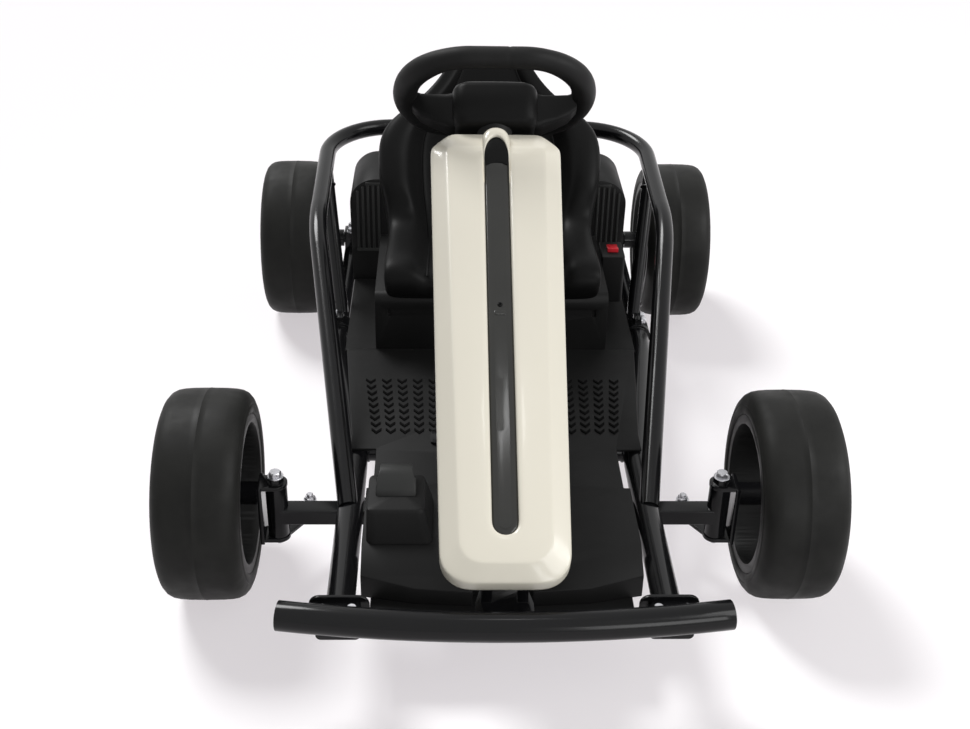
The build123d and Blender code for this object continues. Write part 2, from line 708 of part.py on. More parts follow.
LOWER_EAR = BEAM_Z - SLEEVE_DOWN - EAR_GAP - EAR_THICKNESS
UPPER_EAR = BEAM_Z + SLEEVE_UP + EAR_GAP
WEB_INNER = KINGPIN_X + SLEEVE_RADIUS + 3
WEB_THICKNESS = 5.0
EAR_RADIUS = 14.0
ARM_X = KINGPIN_X - ARM_REACH_X
STUB_END = FRONT_TRACK / 2 + BORE_DEPTH - 2
HEAD_HEIGHT = 8.0
PIN_TAIL = 5.0
ROD_EYE_THICKNESS = 10.0
ROD_EYE_RADIUS = 10.0
NUT_Z = LOWER_EAR + EAR_THICKNESS + ROD_EYE_THICKNESS + 2 * SEAT_GAP

for name, side in SIDES.items():
    with BuildPart() as knuckle:
        for under in (LOWER_EAR, UPPER_EAR):
            with BuildSketch(level(under)):
                with Locations((side * KINGPIN_X, 0)):
                    Circle(EAR_RADIUS)
                with Locations((side * (KINGPIN_X + WEB_INNER + WEB_THICKNESS) / 2, 0)):
                    Rectangle(WEB_INNER + WEB_THICKNESS - KINGPIN_X, 2 * EAR_RADIUS)
            extrude(amount=EAR_THICKNESS)
        with BuildSketch(level(LOWER_EAR)):
            with Locations((side * (WEB_INNER + WEB_THICKNESS / 2), 0)):
                Rectangle(WEB_THICKNESS, 36)
        extrude(amount=UPPER_EAR + EAR_THICKNESS - LOWER_EAR)
        with BuildSketch(level(LOWER_EAR)):
            Polygon(
                (side * (KINGPIN_X + 12), 0), (side * (ARM_X + 9), ARM_REACH_Y),
                (side * (ARM_X - 9), ARM_REACH_Y), (side * (KINGPIN_X - 13), 0), align=None,
            )
            with Locations((side * ARM_X, ARM_REACH_Y)):
                Circle(9)
        extrude(amount=EAR_THICKNESS)
        with BuildSketch(level(LOWER_EAR - PIN_TAIL)):
            with Locations((side * KINGPIN_X, 0)):
                Circle(KINGPIN_RADIUS)
        extrude(amount=UPPER_EAR - LOWER_EAR + PIN_TAIL + EAR_THICKNESS)
        with BuildSketch(level(UPPER_EAR + EAR_THICKNESS)):
            with Locations((side * KINGPIN_X, 0)):
                RegularPolygon(10, 6)
        extrude(amount=HEAD_HEIGHT)
        with BuildSketch(level(LOWER_EAR + EAR_THICKNESS)):
            with Locations((side * ARM_X, ARM_REACH_Y)):
                Circle(ARM_PIN_RADIUS)
        extrude(amount=NUT_Z - LOWER_EAR - EAR_THICKNESS)
        with BuildSketch(level(NUT_Z)):
            with Locations((side * ARM_X, ARM_REACH_Y)):
                RegularPolygon(7, 6)
        extrude(amount=6)
        with BuildSketch(lengthwise(side * WEB_INNER)):
            with Locations((0, AXLE_Z)):
                Circle(AXLE_RADIUS)
        extrude(amount=side * (STUB_END - WEB_INNER))
        with BuildSketch(lengthwise(side * (WEB_INNER + WEB_THICKNESS))):
            with Locations((0, AXLE_Z)):
                Circle(AXLE_RADIUS + 6)
        extrude(amount=side * (FRONT_TRACK / 2 - HUB_INNER - SEAT_GAP - WEB_INNER - WEB_THICKNESS))
    knuckle.part.label = f"knuckle_{name}"
    export_step(knuckle.part, f"parts/knuckle_{name}.step")

# Tie rods: an eye on each steering arm's pin, and a wide ring round the crank's stud

ROD_EYE_Z = LOWER_EAR + EAR_THICKNESS + SEAT_GAP + ROD_EYE_THICKNESS / 2
RING_SHIFT_IN = 1.8
RING_SHIFT_UP = 1.5
RING_PLACES = {"right": RING_STACK, "left": -RING_STACK}

for name, side in SIDES.items():
    ring_plane = column_plane(COLUMN_FOOT + RING_PLACES[name])
    ring_at = (-side * RING_SHIFT_IN, RING_SHIFT_UP - CRANK_LENGTH)
    ring_middle = ring_plane.from_local_coords(Vector(*ring_at, 0))
    eye_middle = Vector(*place(side * ARM_X, ARM_REACH_Y, ROD_EYE_Z))
    along = (ring_middle - eye_middle).normalized()
    with BuildPart() as tie_rod:
        with BuildLine() as course:
            Line(eye_middle + along * (ROD_EYE_RADIUS - 3), ring_middle - along * (RING_RADIUS - 2))
        with BuildSketch(Plane(origin=course.line @ 0, z_dir=course.line % 0)):
            Circle(ROD_RADIUS)
        sweep()
        with BuildSketch(level(ROD_EYE_Z - ROD_EYE_THICKNESS / 2)):
            with Locations((side * ARM_X, ARM_REACH_Y)):
                Circle(ROD_EYE_RADIUS)
        extrude(amount=ROD_EYE_THICKNESS)
        with BuildSketch(level(ROD_EYE_Z)):
            with Locations((side * ARM_X, ARM_REACH_Y)):
                Circle(ARM_PIN_RADIUS + RUNNING_FIT)
        extrude(amount=ROD_EYE_THICKNESS, both=True, mode=Mode.SUBTRACT)
        with BuildSketch(ring_plane):
            with Locations(ring_at):
                Circle(RING_RADIUS)
        extrude(amount=RING_THICKNESS / 2, both=True)
        with BuildSketch(ring_plane):
            with Locations(ring_at):
                Circle(RING_BORE)
        extrude(amount=RING_THICKNESS, both=True, mode=Mode.SUBTRACT)
    tie_rod.part.label = f"tie_rod_{name}"
    export_step(tie_rod.part, f"parts/tie_rod_{name}.step")

# Floor panel: flat between the rails, lapping over them at the rear, with a hollow nose

FLOOR_HALF = RAIL_X - RAIL_RADIUS - 3
NOTCH_HALF = FLOOR_HALF - 8
STEP_HALF = RAIL_X + 6
FLOOR_REAR_HALF = RAIL_REAR_X - 16
NOTCH_FROM = 14.0
NOTCH_TO = 97.0
STEP_LENGTH = 34.0
NOSE_FALL = 0.36
NOSE_RUN = 110.0
NOSE_HEIGHT = 50.0
NOSE_UNDER = FLOOR_TOP - NOSE_HEIGHT
NOSE_NOTCH = BRACKET_HALF + 6
TUNNEL_HALF = 22.0
TUNNEL_FROM = 20.0
TUNNEL_TO = 86.0

with BuildPart() as floor_panel:
    with BuildSketch(level(NOSE_UNDER)):
        Polygon(
            *both_sides([
                (NOSE_NOTCH, NOSE_EDGE_AT + 26), (NOSE_NOTCH - 4, NOSE_EDGE_AT), (100, NOSE_EDGE_AT + 6),
                (FLOOR_HALF, NOSE_EDGE_AT + 26), (FLOOR_HALF, NOSE_CREASE_AT),
            ]),
            align=None,
        )
    extrude(amount=NOSE_HEIGHT)
    with BuildSketch(lengthwise(0)):
        Polygon(
            (NOSE_CREASE_AT, FLOOR_TOP), (NOSE_CREASE_AT - NOSE_RUN, FLOOR_TOP),
            (NOSE_CREASE_AT - NOSE_RUN, FLOOR_TOP - NOSE_RUN * NOSE_FALL),
            align=None,
        )
    extrude(amount=2 * FLOOR_HALF, both=True, mode=Mode.SUBTRACT)
    under = floor_panel.faces().sort_by(Axis.Z)[0]
    behind = floor_panel.faces().filter_by(Axis.Y).sort_by(Axis.Y)[-1]
    offset(amount=-FLOOR_THICKNESS, openings=[under, behind])
    with BuildSketch(level(FLOOR_UNDER)):
        Polygon(
            *both_sides([
                (FLOOR_HALF, NOSE_CREASE_AT), (FLOOR_HALF, NOTCH_FROM), (NOTCH_HALF, NOTCH_FROM),
                (NOTCH_HALF, NOTCH_TO), (STEP_HALF, NOTCH_TO), (STEP_HALF, NOTCH_TO + STEP_LENGTH),
                (FLOOR_REAR_HALF, FLOOR_END_AT - 10), (FLOOR_REAR_HALF, FLOOR_END_AT),
            ]),
            align=None,
        )
        with Locations((0, (TUNNEL_FROM + TUNNEL_TO) / 2)):
            RectangleRounded(2 * TUNNEL_HALF, TUNNEL_TO - TUNNEL_FROM, 10, mode=Mode.SUBTRACT)
    extrude(amount=FLOOR_THICKNESS)
floor_panel.part.label = "floor_panel"
export_step(floor_panel.part, "parts/floor_panel.step")

# Accelerator: a wedge-shaped base with the foot pad over it

PEDAL_X = -118.0
PEDAL_FOOT_AT = -92.0
PEDAL_HEIGHT = 38.0
PEDAL_HALF = 18.0

with BuildPart() as pedal_base:
    with BuildSketch(level(FLOOR_TOP)):
        with Locations((PEDAL_X, PEDAL_FOOT_AT + 45)):
            RectangleRounded(72, 86, 8)
    with BuildSketch(level(FLOOR_TOP + PEDAL_HEIGHT)):
        with Locations((PEDAL_X, PEDAL_FOOT_AT + 40)):
            RectangleRounded(56, 36, 6)
    loft()
pedal_base.part.label = "pedal_base"
export_step(pedal_base.part, "parts/pedal_base.step")

with BuildPart() as accelerator_pedal:
    seat = FLOOR_TOP + PEDAL_HEIGHT
    with BuildSketch(lengthwise(PEDAL_X)):
        Polygon(
            (PEDAL_FOOT_AT + 32, seat), (PEDAL_FOOT_AT + 54, seat), (PEDAL_FOOT_AT + 84, seat + 6),
            (PEDAL_FOOT_AT + 82, seat + 20), (PEDAL_FOOT_AT + 28, seat + 10),
            align=None,
        )
    extrude(amount=PEDAL_HALF, both=True)
    fillet(accelerator_pedal.edges().filter_by(Axis.X), 2.5)
accelerator_pedal.part.label = "accelerator_pedal"
export_step(accelerator_pedal.part, "parts/accelerator_pedal.step")

# Battery box under the seat, and the switch box on its left side

BOX_UNDER = RAIL_Z + CROSS_RADIUS
BOX_TOP = BOX_UNDER + BOX_HEIGHT
BOX_END_AT = WHEELBASE - 154
BOX_CORNER = 14.0

with BuildPart() as battery_box:
    with BuildSketch(level(BOX_UNDER)):
        with Locations((0, (FLOOR_END_AT + BOX_END_AT) / 2)):
            Rectangle(2 * BOX_HALF, BOX_END_AT - FLOOR_END_AT)
    extrude(amount=BOX_HEIGHT)
    fillet(battery_box.edges().filter_by(Axis.X).group_by(Axis.Z)[-1], BOX_CORNER)
    with BuildSketch(across(FLOOR_END_AT)):
        with Locations((BOX_HALF - 20, BOX_TOP - 28), (20 - BOX_HALF, BOX_TOP - 28)):
            RectangleRounded(6, 12, 2)
    extrude(amount=-8, mode=Mode.SUBTRACT)
battery_box.part.label = "battery_box"
export_step(battery_box.part, "parts/battery_box.step")

SWITCH_AT = BOX_END_AT - 85
SWITCH_TOP = BOX_TOP + 13
SWITCH_BOX_WIDTH = 34.0
SWITCH_BOX_LENGTH = 52.0
SWITCH_BOX_HEIGHT = 75.0
SWITCH_HALF = 11.0

with BuildPart() as switch_box:
    with BuildSketch(level(SWITCH_TOP)):
        with Locations((BOX_HALF + SWITCH_BOX_WIDTH / 2, SWITCH_AT)):
            Rectangle(SWITCH_BOX_WIDTH, SWITCH_BOX_LENGTH)
    extrude(amount=-SWITCH_BOX_HEIGHT)
    fillet(switch_box.edges().filter_by(Axis.Z).group_by(Axis.X)[-1], 5)
switch_box.part.label = "switch_box"
export_step(switch_box.part, "parts/switch_box.step")

with BuildPart() as power_switch:
    with BuildSketch(lengthwise(BOX_HALF + SWITCH_BOX_WIDTH / 2)):
        Polygon(
            (SWITCH_AT - SWITCH_HALF, SWITCH_TOP), (SWITCH_AT + SWITCH_HALF, SWITCH_TOP),
            (SWITCH_AT + SWITCH_HALF, SWITCH_TOP + 3), (SWITCH_AT, SWITCH_TOP + 4),
            (SWITCH_AT - SWITCH_HALF, SWITCH_TOP + 7),
            align=None,
        )
    extrude(amount=8, both=True)
power_switch.part.label = "power_switch"
export_step(power_switch.part, "parts/power_switch.step")

# Bucket seat: a block of its side profile, trimmed to its front outline, then hollowed

SEAT_FROM = WHEELBASE - 294
SEAT_UNDER = BOX_TOP
SEAT_TOP = AXLE_Z + 342
SEAT_BACK_AT = WHEELBASE - 2
SEAT_OUTLINE_BEND = 20.0

with BuildPart() as seat_shell:
    with BuildSketch(lengthwise(0)):
        Polygon(
            (SEAT_FROM + 6, SEAT_UNDER), (SEAT_FROM, SEAT_UNDER + 20), (SEAT_FROM + 12, SEAT_UNDER + 46),
            (SEAT_BACK_AT - 154, SEAT_UNDER + 118), (SEAT_BACK_AT - 84, SEAT_UNDER + 176),
            (SEAT_BACK_AT - 24, SEAT_TOP), (SEAT_BACK_AT, SEAT_TOP),
            (SEAT_BACK_AT - 48, SEAT_UNDER + 150), (SEAT_BACK_AT - 146, SEAT_UNDER),
            align=None,
        )
    extrude(amount=SEAT_HALF, both=True)
    with BuildSketch(across(SEAT_FROM - 20)):
        with BuildLine():
            FilletPolyline(
                *both_sides([
                    (118, SEAT_UNDER - 12), (142, SEAT_UNDER + 40), (SEAT_HALF, SEAT_UNDER + 110),
                    (146, SEAT_UNDER + 146), (84, SEAT_UNDER + 186), (46, SEAT_TOP),
                ]),
                radius=SEAT_OUTLINE_BEND, close=True,
            )
        make_face()
    extrude(amount=SEAT_FROM - 20 - SEAT_BACK_AT, mode=Mode.INTERSECT)
    with BuildSketch(lengthwise(0)):
        Polygon(
            (SEAT_FROM - 30, SEAT_UNDER + 24), (SEAT_FROM + 96, SEAT_UNDER + 14),
            (SEAT_FROM + 128, SEAT_UNDER + 30), (SEAT_BACK_AT - 64, SEAT_UNDER + 190),
            (SEAT_BACK_AT - 12, SEAT_TOP + 30), (SEAT_FROM - 30, SEAT_TOP + 30),
            align=None,
        )
    channel = extrude(amount=SEAT_HALF, both=True, mode=Mode.PRIVATE)
    with BuildSketch(across(SEAT_FROM - 40)):
        Polygon(
            *both_sides([
                (100, SEAT_UNDER), (116, SEAT_UNDER + 24), (84, SEAT_UNDER + 160), (84, SEAT_TOP + 40),
            ]),
            align=None,
        )
    gap = extrude(amount=SEAT_FROM - 40 - SEAT_BACK_AT, mode=Mode.PRIVATE)
    add(channel & gap, mode=Mode.SUBTRACT)
seat_shell.part.label = "seat_shell"
export_step(seat_shell.part, "parts/seat_shell.step")

# Side covers beside the seat: a front wall with cooling slots, a top and an outer wall

COVER_UNDER = RAIL_Z + EXTENSION_RADIUS
COVER_TOP = AXLE_Z + 183
COVER_INNER = SEAT_HALF + 6
COVER_OUTER = 225.0
COVER_CORNER = 38.0
COVER_SLOTS = 4
COVER_SLOT_WIDTH = 4.5
COVER_SLOT_PITCH = 10.0
COVER_SLOT_LENGTH = 64.0

for name, side in SIDES.items():
    with BuildPart() as engine_cover:
        with BuildSketch(across(COVER_TO)):
            with BuildLine():
                Line((side * COVER_INNER, COVER_TOP), (side * COVER_INNER, COVER_UNDER))
                Line((side * COVER_INNER, COVER_UNDER), (side * COVER_OUTER, COVER_UNDER))
                Line((side * COVER_OUTER, COVER_UNDER), (side * COVER_OUTER, COVER_TOP - COVER_CORNER))
                RadiusArc(
                    (side * COVER_OUTER, COVER_TOP - COVER_CORNER),
                    (side * (COVER_OUTER - COVER_CORNER), COVER_TOP),
                    -side * COVER_CORNER,
                )
                Line((side * (COVER_OUTER - COVER_CORNER), COVER_TOP), (side * COVER_INNER, COVER_TOP))
            make_face()
        extrude(amount=COVER_TO - COVER_FROM)
        inner = engine_cover.faces().filter_by(Axis.X).sort_by(Axis.X)[0 if side > 0 else -1]
        under = engine_cover.faces().sort_by(Axis.Z)[0]
        behind = engine_cover.faces().filter_by(Axis.Y).sort_by(Axis.Y)[-1]
        offset(amount=-COVER_WALL, openings=[inner, under, behind])
        with BuildSketch(across(COVER_FROM)):
            for number in range(COVER_SLOTS):
                with Locations((side * (COVER_INNER + 14 + COVER_SLOT_PITCH * number), COVER_TOP - 66)):
                    SlotOverall(COVER_SLOT_LENGTH, COVER_SLOT_WIDTH, rotation=90)
        extrude(amount=-COVER_WALL, mode=Mode.SUBTRACT)
    engine_cover.part.label = f"engine_cover_{name}"
    export_step(engine_cover.part, f"parts/engine_cover_{name}.step")

# Rear axle bar, and a gearbox with its motor beside each saddle

DOG_RADIUS = 14.0
DOG_FROM = RAIL_REAR_X + SADDLE_WIDTH / 2 + 2
GEARBOX_OUTER = RAIL_REAR_X - EXTENSION_RADIUS - 1
GEARBOX_WIDTH = 50.0
GEARBOX_RADIUS = 38.0
MOTOR_LENGTH = 62.0
MOTOR_RADIUS = 30.0
MOTOR_AT = WHEELBASE - 46
MOTOR_Z = AXLE_Z + 42

with BuildPart() as rear_axle:
    with BuildSketch(lengthwise(0)):
        with Locations((WHEELBASE, AXLE_Z)):
            Circle(AXLE_RADIUS)
    extrude(amount=REAR_TRACK / 2 + BORE_DEPTH - 2, both=True)
    for side in SIDES.values():
        with BuildSketch(lengthwise(side * DOG_FROM)):
            with Locations((WHEELBASE, AXLE_Z)):
                Circle(DOG_RADIUS)
        extrude(amount=side * (REAR_TRACK / 2 - HUB_INNER - SEAT_GAP - DOG_FROM))
rear_axle.part.label = "rear_axle"
export_step(rear_axle.part, "parts/rear_axle.step")

for name, side in SIDES.items():
    with BuildPart() as drive_unit:
        with BuildSketch(lengthwise(side * GEARBOX_OUTER)):
            with Locations((WHEELBASE, AXLE_Z)):
                Circle(GEARBOX_RADIUS)
            with Locations((MOTOR_AT, MOTOR_Z)):
                Circle(MOTOR_RADIUS + 4)
            make_hull()
        extrude(amount=-side * GEARBOX_WIDTH)
        with BuildSketch(lengthwise(side * (GEARBOX_OUTER - GEARBOX_WIDTH))):
            with Locations((MOTOR_AT, MOTOR_Z)):
                Circle(MOTOR_RADIUS)
        extrude(amount=-side * MOTOR_LENGTH)
        with BuildSketch(lengthwise(side * GEARBOX_OUTER)):
            with Locations((WHEELBASE, AXLE_Z)):
                Circle(AXLE_RADIUS + RUNNING_FIT)
        extrude(amount=-side * GEARBOX_WIDTH, mode=Mode.SUBTRACT)
    drive_unit.part.label = f"drive_unit_{name}"
    export_step(drive_unit.part, f"parts/drive_unit_{name}.step")
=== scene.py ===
"""Looks for a children's electric go-kart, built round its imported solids.

Every piece is in metres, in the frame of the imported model. Sizes written here
are in millimetres, and distances along the kart are measured back from the
front axle.
"""

from math import acos, atan2, cos, pi, radians, sin, tau

import bmesh
import bpy
from bpy.props import FloatProperty, FloatVectorProperty, IntProperty, PointerProperty
from bpy.types import Operator, Panel, PropertyGroup
from mathutils import Matrix, Vector


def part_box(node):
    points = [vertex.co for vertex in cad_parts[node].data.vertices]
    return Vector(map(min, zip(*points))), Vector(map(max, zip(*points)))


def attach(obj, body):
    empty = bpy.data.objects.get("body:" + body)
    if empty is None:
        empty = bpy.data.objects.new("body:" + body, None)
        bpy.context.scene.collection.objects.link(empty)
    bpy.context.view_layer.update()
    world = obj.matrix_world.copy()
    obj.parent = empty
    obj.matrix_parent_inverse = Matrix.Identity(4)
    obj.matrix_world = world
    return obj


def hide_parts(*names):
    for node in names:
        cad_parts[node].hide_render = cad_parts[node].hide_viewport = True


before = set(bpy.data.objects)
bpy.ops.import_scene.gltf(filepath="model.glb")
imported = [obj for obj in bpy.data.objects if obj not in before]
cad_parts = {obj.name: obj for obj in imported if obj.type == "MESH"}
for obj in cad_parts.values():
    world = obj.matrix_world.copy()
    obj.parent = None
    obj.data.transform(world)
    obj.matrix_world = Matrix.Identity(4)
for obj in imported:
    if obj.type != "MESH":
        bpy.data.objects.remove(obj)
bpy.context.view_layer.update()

bl_info = {
    "name": "Go-kart looks",
    "version": (1, 0, 0),
    "blender": (4, 5, 0),
    "location": "View3D > Sidebar > Kart",
    "description": "Skins, finishes and fasteners for a children's go-kart",
    "category": "Object",
}

MM = 0.001
CORNERS = ("front_right", "front_left", "rear_right", "rear_left")
SIDES = {"right": -1, "left": 1}


def middle(node):
    """The middle of a node's box."""
    low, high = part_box(node)
    return (Vector(low) + Vector(high)) / 2


FRONT_AXLE_Y = middle("front_left_tyre").y


def at(x, back, z):
    """A point of the kart from millimetres across, behind the front axle and up."""
    return Vector((x * MM, FRONT_AXLE_Y + back * MM, z * MM))


# Modelling


def deselect():
    """Nothing is selected and no object is open."""
    if bpy.context.mode != "OBJECT":
        bpy.ops.object.mode_set(mode="OBJECT")
    bpy.ops.object.select_all(action="DESELECT")


def take(piece):
    """Only this piece is selected and active."""
    deselect()
    piece.select_set(True)
    bpy.context.view_layer.objects.active = piece


def smooth(piece, angle=35):
    """Rounds the shading over edges flatter than the angle."""
    take(piece)
    bpy.ops.object.shade_smooth_by_angle(angle=radians(angle))


def apply_modifier(piece, kind, **settings):
    """Adds one modifier with its settings and applies it."""
    take(piece)
    modifier = piece.modifiers.new(kind.title(), kind)
    for name, value in settings.items():
        setattr(modifier, name, value)
    bpy.ops.object.modifier_apply(modifier=modifier.name)


def skin(name, loops, closed=False):
    """A circle primitive, extruded from loop to loop, with each loop put at its own points."""
    deselect()
    bpy.ops.mesh.primitive_circle_add(vertices=len(loops[0]))
    piece = bpy.context.object
    piece.name = name
    piece.data.name = name
    bpy.ops.object.mode_set(mode="EDIT")
    ring = range(len(loops[0]))
    rest = [*loops[1:], loops[0]] if closed else loops[1:]
    mesh = bmesh.from_edit_mesh(piece.data)
    mesh.verts.ensure_lookup_table()
    for index, point in zip(ring, loops[0]):
        mesh.verts[index].co = point
    for loop in rest:
        bpy.ops.mesh.extrude_edges_move()
        mesh = bmesh.from_edit_mesh(piece.data)
        mesh.verts.ensure_lookup_table()
        mesh.verts.index_update()
        ring = [fresh_neighbour(mesh.verts[index]).index for index in ring]
        for index, point in zip(ring, loop):
            mesh.verts[index].co = point
    bmesh.update_edit_mesh(piece.data)
    bpy.ops.mesh.select_all(action="SELECT")
    bpy.ops.mesh.remove_doubles(threshold=1e-6)
    bpy.ops.mesh.normals_make_consistent(inside=False)
    bpy.ops.object.mode_set(mode="OBJECT")
    return piece


def fresh_neighbour(vert):
    """The selected vertex that an extrusion has joined to this one."""
    return next(edge.other_vert(vert) for edge in vert.link_edges if edge.other_vert(vert).select)


def turned(name, profile, centre, along, steps=72, closed=False):
    """A profile of distances along an axis and radii, turned round that axis."""
    along = Vector(along).normalized()
    one = along.orthogonal().normalized()
    two = along.cross(one)
    loops = []
    for offset, radius in profile:
        hub = centre + along * offset * MM
        turns = (tau * step / steps for step in range(steps))
        loops.append([hub + (one * cos(turn) + two * sin(turn)) * radius * MM for turn in turns])
    return skin(name, loops, closed)


def soft_copy(node, name, width, segments=3, angle=30):
    """A node's own shape with its flat faces joined and its edges rounded over."""
    piece = bpy.data.objects.new(name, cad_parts[node].data.copy())
    piece.data.name = name
    bpy.context.scene.collection.objects.link(piece)
    take(piece)
    bpy.ops.object.mode_set(mode="EDIT")
    bpy.ops.mesh.select_all(action="SELECT")
    bpy.ops.mesh.customdata_custom_splitnormals_clear()
    bpy.ops.mesh.remove_doubles(threshold=1e-6)
    bpy.ops.mesh.dissolve_limited(angle_limit=radians(0.4))
    bpy.ops.object.mode_set(mode="OBJECT")
    apply_modifier(
        piece, "BEVEL", width=width * MM, segments=segments, limit_method="ANGLE", angle_limit=radians(angle),
        miter_outer="MITER_ARC",
    )
    smooth(piece, 40)
    return piece


def turn_to(point, along, spin=(0, 0, 1)):
    """A place at a point, with local Z along a direction and local Y near another."""
    along = Vector(along).normalized()
    side = Vector(spin).cross(along)
    side = side.normalized() if side.length > 1e-4 else along.orthogonal().normalized()
    turned_up = along.cross(side)
    place = Matrix((side, turned_up, along)).transposed().to_4x4()
    place.translation = point
    return place


def repeated(piece, places, name):
    """Copies of a piece at each place, joined into one piece."""
    copies = []
    for place in places:
        copy = bpy.data.objects.new(name, piece.data.copy())
        copy.data.transform(place)
        bpy.context.scene.collection.objects.link(copy)
        copies.append(copy)
    bpy.data.objects.remove(piece)
    return joined(copies, name)


def joined(pieces, name):
    """Several pieces made one."""
    deselect()
    for piece in pieces:
        piece.select_set(True)
    bpy.context.view_layer.objects.active = pieces[0]
    if len(pieces) > 1:
        bpy.ops.object.join()
    pieces[0].name = name
    pieces[0].data.name = name
    return pieces[0]


def settle(piece, body, finish, replaces=()):
    """Gives a piece its finish and the body that it rides on."""
    piece.data.materials.clear()
    piece.data.materials.append(FINISHES[finish])
    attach(piece, body)
    if replaces:
        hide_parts(*replaces)


def paint_node(node, finish):
    """Puts a finish on a node that stays in view."""
    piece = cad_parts[node]
    for holder in piece.material_slots:
        holder.link = "OBJECT"
        holder.material = FINISHES[finish]
    smooth(piece, 40)


# Shapes of small hardware, each along +Z from the face that it sits on


def hexagon(turn):
    """How far a hexagon's edge lies from its middle, as a share of half its width over flats."""
    return 1 / cos((turn + pi / 6) % (pi / 3) - pi / 6)


def flat_loop(steps, radius, height, shape=None):
    """A level loop of points, round or as the shape function says."""
    turns = [tau * step / steps for step in range(steps)]
    reach = [radius * (shape(turn) if shape else 1) * MM for turn in turns]
    return [Vector((r * cos(t), r * sin(t), height * MM)) for r, t in zip(reach, turns)]


def hex_bolt(width, head, washer=1.4):
    """A hexagon head with its washer."""
    half = width / 2
    return skin("bolt", [
        flat_loop(24, half * 1.5, 0), flat_loop(24, half * 1.5, washer * 0.7), flat_loop(24, half * 1.42, washer),
        flat_loop(24, half, washer, hexagon), flat_loop(24, half, washer + head * 0.8, hexagon),
        flat_loop(24, half * 0.93, washer + head), flat_loop(24, 0, washer + head),
    ])


def bar(name, across, back, up):
    """A straight bar between two limits each way, drawn as a loop and extruded upwards."""
    plan = [(across[0], back[0]), (across[1], back[0]), (across[1], back[1]), (across[0], back[1])]
    levels = [(0, up[0]), (1, up[0]), (1, up[1]), (0, up[1])]
    middle_x = sum(across) / 2
    middle_back = sum(back) / 2
    return skin(name, [
        [at(middle_x + (x - middle_x) * share, middle_back + (y - middle_back) * share, z) for x, y in plan]
        for share, z in levels
    ])


def lock_nut(width, head, stud):
    """A nut with a collar, and the end of its bolt standing out."""
    half = width / 2
    return skin("nut", [
        flat_loop(24, half * 1.35, 0), flat_loop(24, half * 1.35, 1), flat_loop(24, half, 1.1, hexagon),
        flat_loop(24, half, head * 0.7, hexagon), flat_loop(24, half * 0.86, head * 0.8),
        flat_loop(24, half * 0.8, head), flat_loop(24, stud, head), flat_loop(24, stud, head + 2.6),
        flat_loop(24, stud * 0.8, head + 3.2), flat_loop(24, 0, head + 3.2),
    ])


def pan_screw(radius):
    """A domed screw head with a cross recess."""
    cross = [0.62 if step % 6 else 0.2 for step in range(24)]
    loops = [flat_loop(24, radius, 0), flat_loop(24, radius, radius * 0.25), flat_loop(24, radius * 0.8, radius * 0.5)]
    rim = flat_loop(24, radius * 0.52, radius * 0.6)
    recess = [Vector((p.x * c / 0.62, p.y * c / 0.62, p.z)) for p, c in zip(rim, cross)]
    loops += [rim, recess, [Vector((p.x, p.y, radius * 0.25 * MM)) for p in recess], flat_loop(24, 0, radius * 0.25)]
    return skin("screw", loops)


# Finishes

FINISHES = {}

SURFACES = {
    # finish: (colour name, roughness, roughness spread, metal, coat, reflection, patch size, patch depth, grain size, grain depth)
    # The rubber's deep patches of tone are partly its own uneven tone and partly painted sheen, standing in for the
    # patchy sheen on the tyre crowns.
    "foam_rubber": ("rubber", 0.56, 0.22, 0, 0, 0.14, 46, 0.75, 1.6, 0.10),
    "rim_plastic": ("plastic", 0.42, 0.10, 0, 0, 0.14, 40, 0.20, 1.0, 0.04),
    "gloss_paint": ("paint", 0.18, 0.06, 0, 0.02, 0.2, 90, 0.12, 9.0, 0.02),
    "zinc": ("zinc", 0.30, 0.14, 1, 0, 0.5, 8, 0.18, 1.5, 0.04),
    "ivory_gloss": ("ivory", 0.24, 0.05, 0, 0.2, 0.3, 160, 0.03, 14.0, 0.02),
    "smoked_strip": ("smoke", 0.14, 0.05, 0, 0.1, 0.3, 70, 0.25, 9.0, 0.02),
    "grained_plastic": ("plastic", 0.50, 0.10, 0, 0, 0.12, 70, 0.25, 0.9, 0.07),
    "satin_plastic": ("plastic", 0.42, 0.10, 0, 0, 0.06, 70, 0.25, 1.1, 0.05),
    "grip_skin": ("grip", 0.52, 0.12, 0, 0, 0.13, 30, 0.25, 1.8, 0.14),
    "switch_red": ("red", 0.25, 0.05, 0, 0.1, 0.3, 20, 0.15, 2.0, 0.02),
    "grey_plastic": ("grey", 0.42, 0.08, 0, 0, 0.15, 40, 0.2, 1.0, 0.04),
    # Painted shade: the near-black finish of the grip chevrons stands in for the shade inside the floor's recessed V
    # grooves.
    "pressed_black": ("black", 0.7, 0.08, 0, 0, 0.02, 40, 0.2, 1.0, 0.04),
}


def node_of(tree, kind, **values):
    """One shader node with the values of its sockets or settings."""
    node = tree.nodes.new(kind)
    for name, value in values.items():
        if name in node.inputs:
            node.inputs[name].default_value = value
        else:
            setattr(node, name, value)
    return node


def seen_directly(tree):
    """One where a ray comes from the camera, a glossy surface or glass; nothing where it lights a surface."""
    path = node_of(tree, "ShaderNodeLightPath")
    mirrored = node_of(tree, "ShaderNodeMath", operation="ADD")
    either = node_of(tree, "ShaderNodeMath", operation="ADD", use_clamp=True)
    tree.links.new(path.outputs["Is Camera Ray"], mirrored.inputs[0])
    tree.links.new(path.outputs["Is Glossy Ray"], mirrored.inputs[1])
    tree.links.new(mirrored.outputs["Value"], either.inputs[0])
    tree.links.new(path.outputs["Is Transmission Ray"], either.inputs[1])
    return either.outputs["Value"]


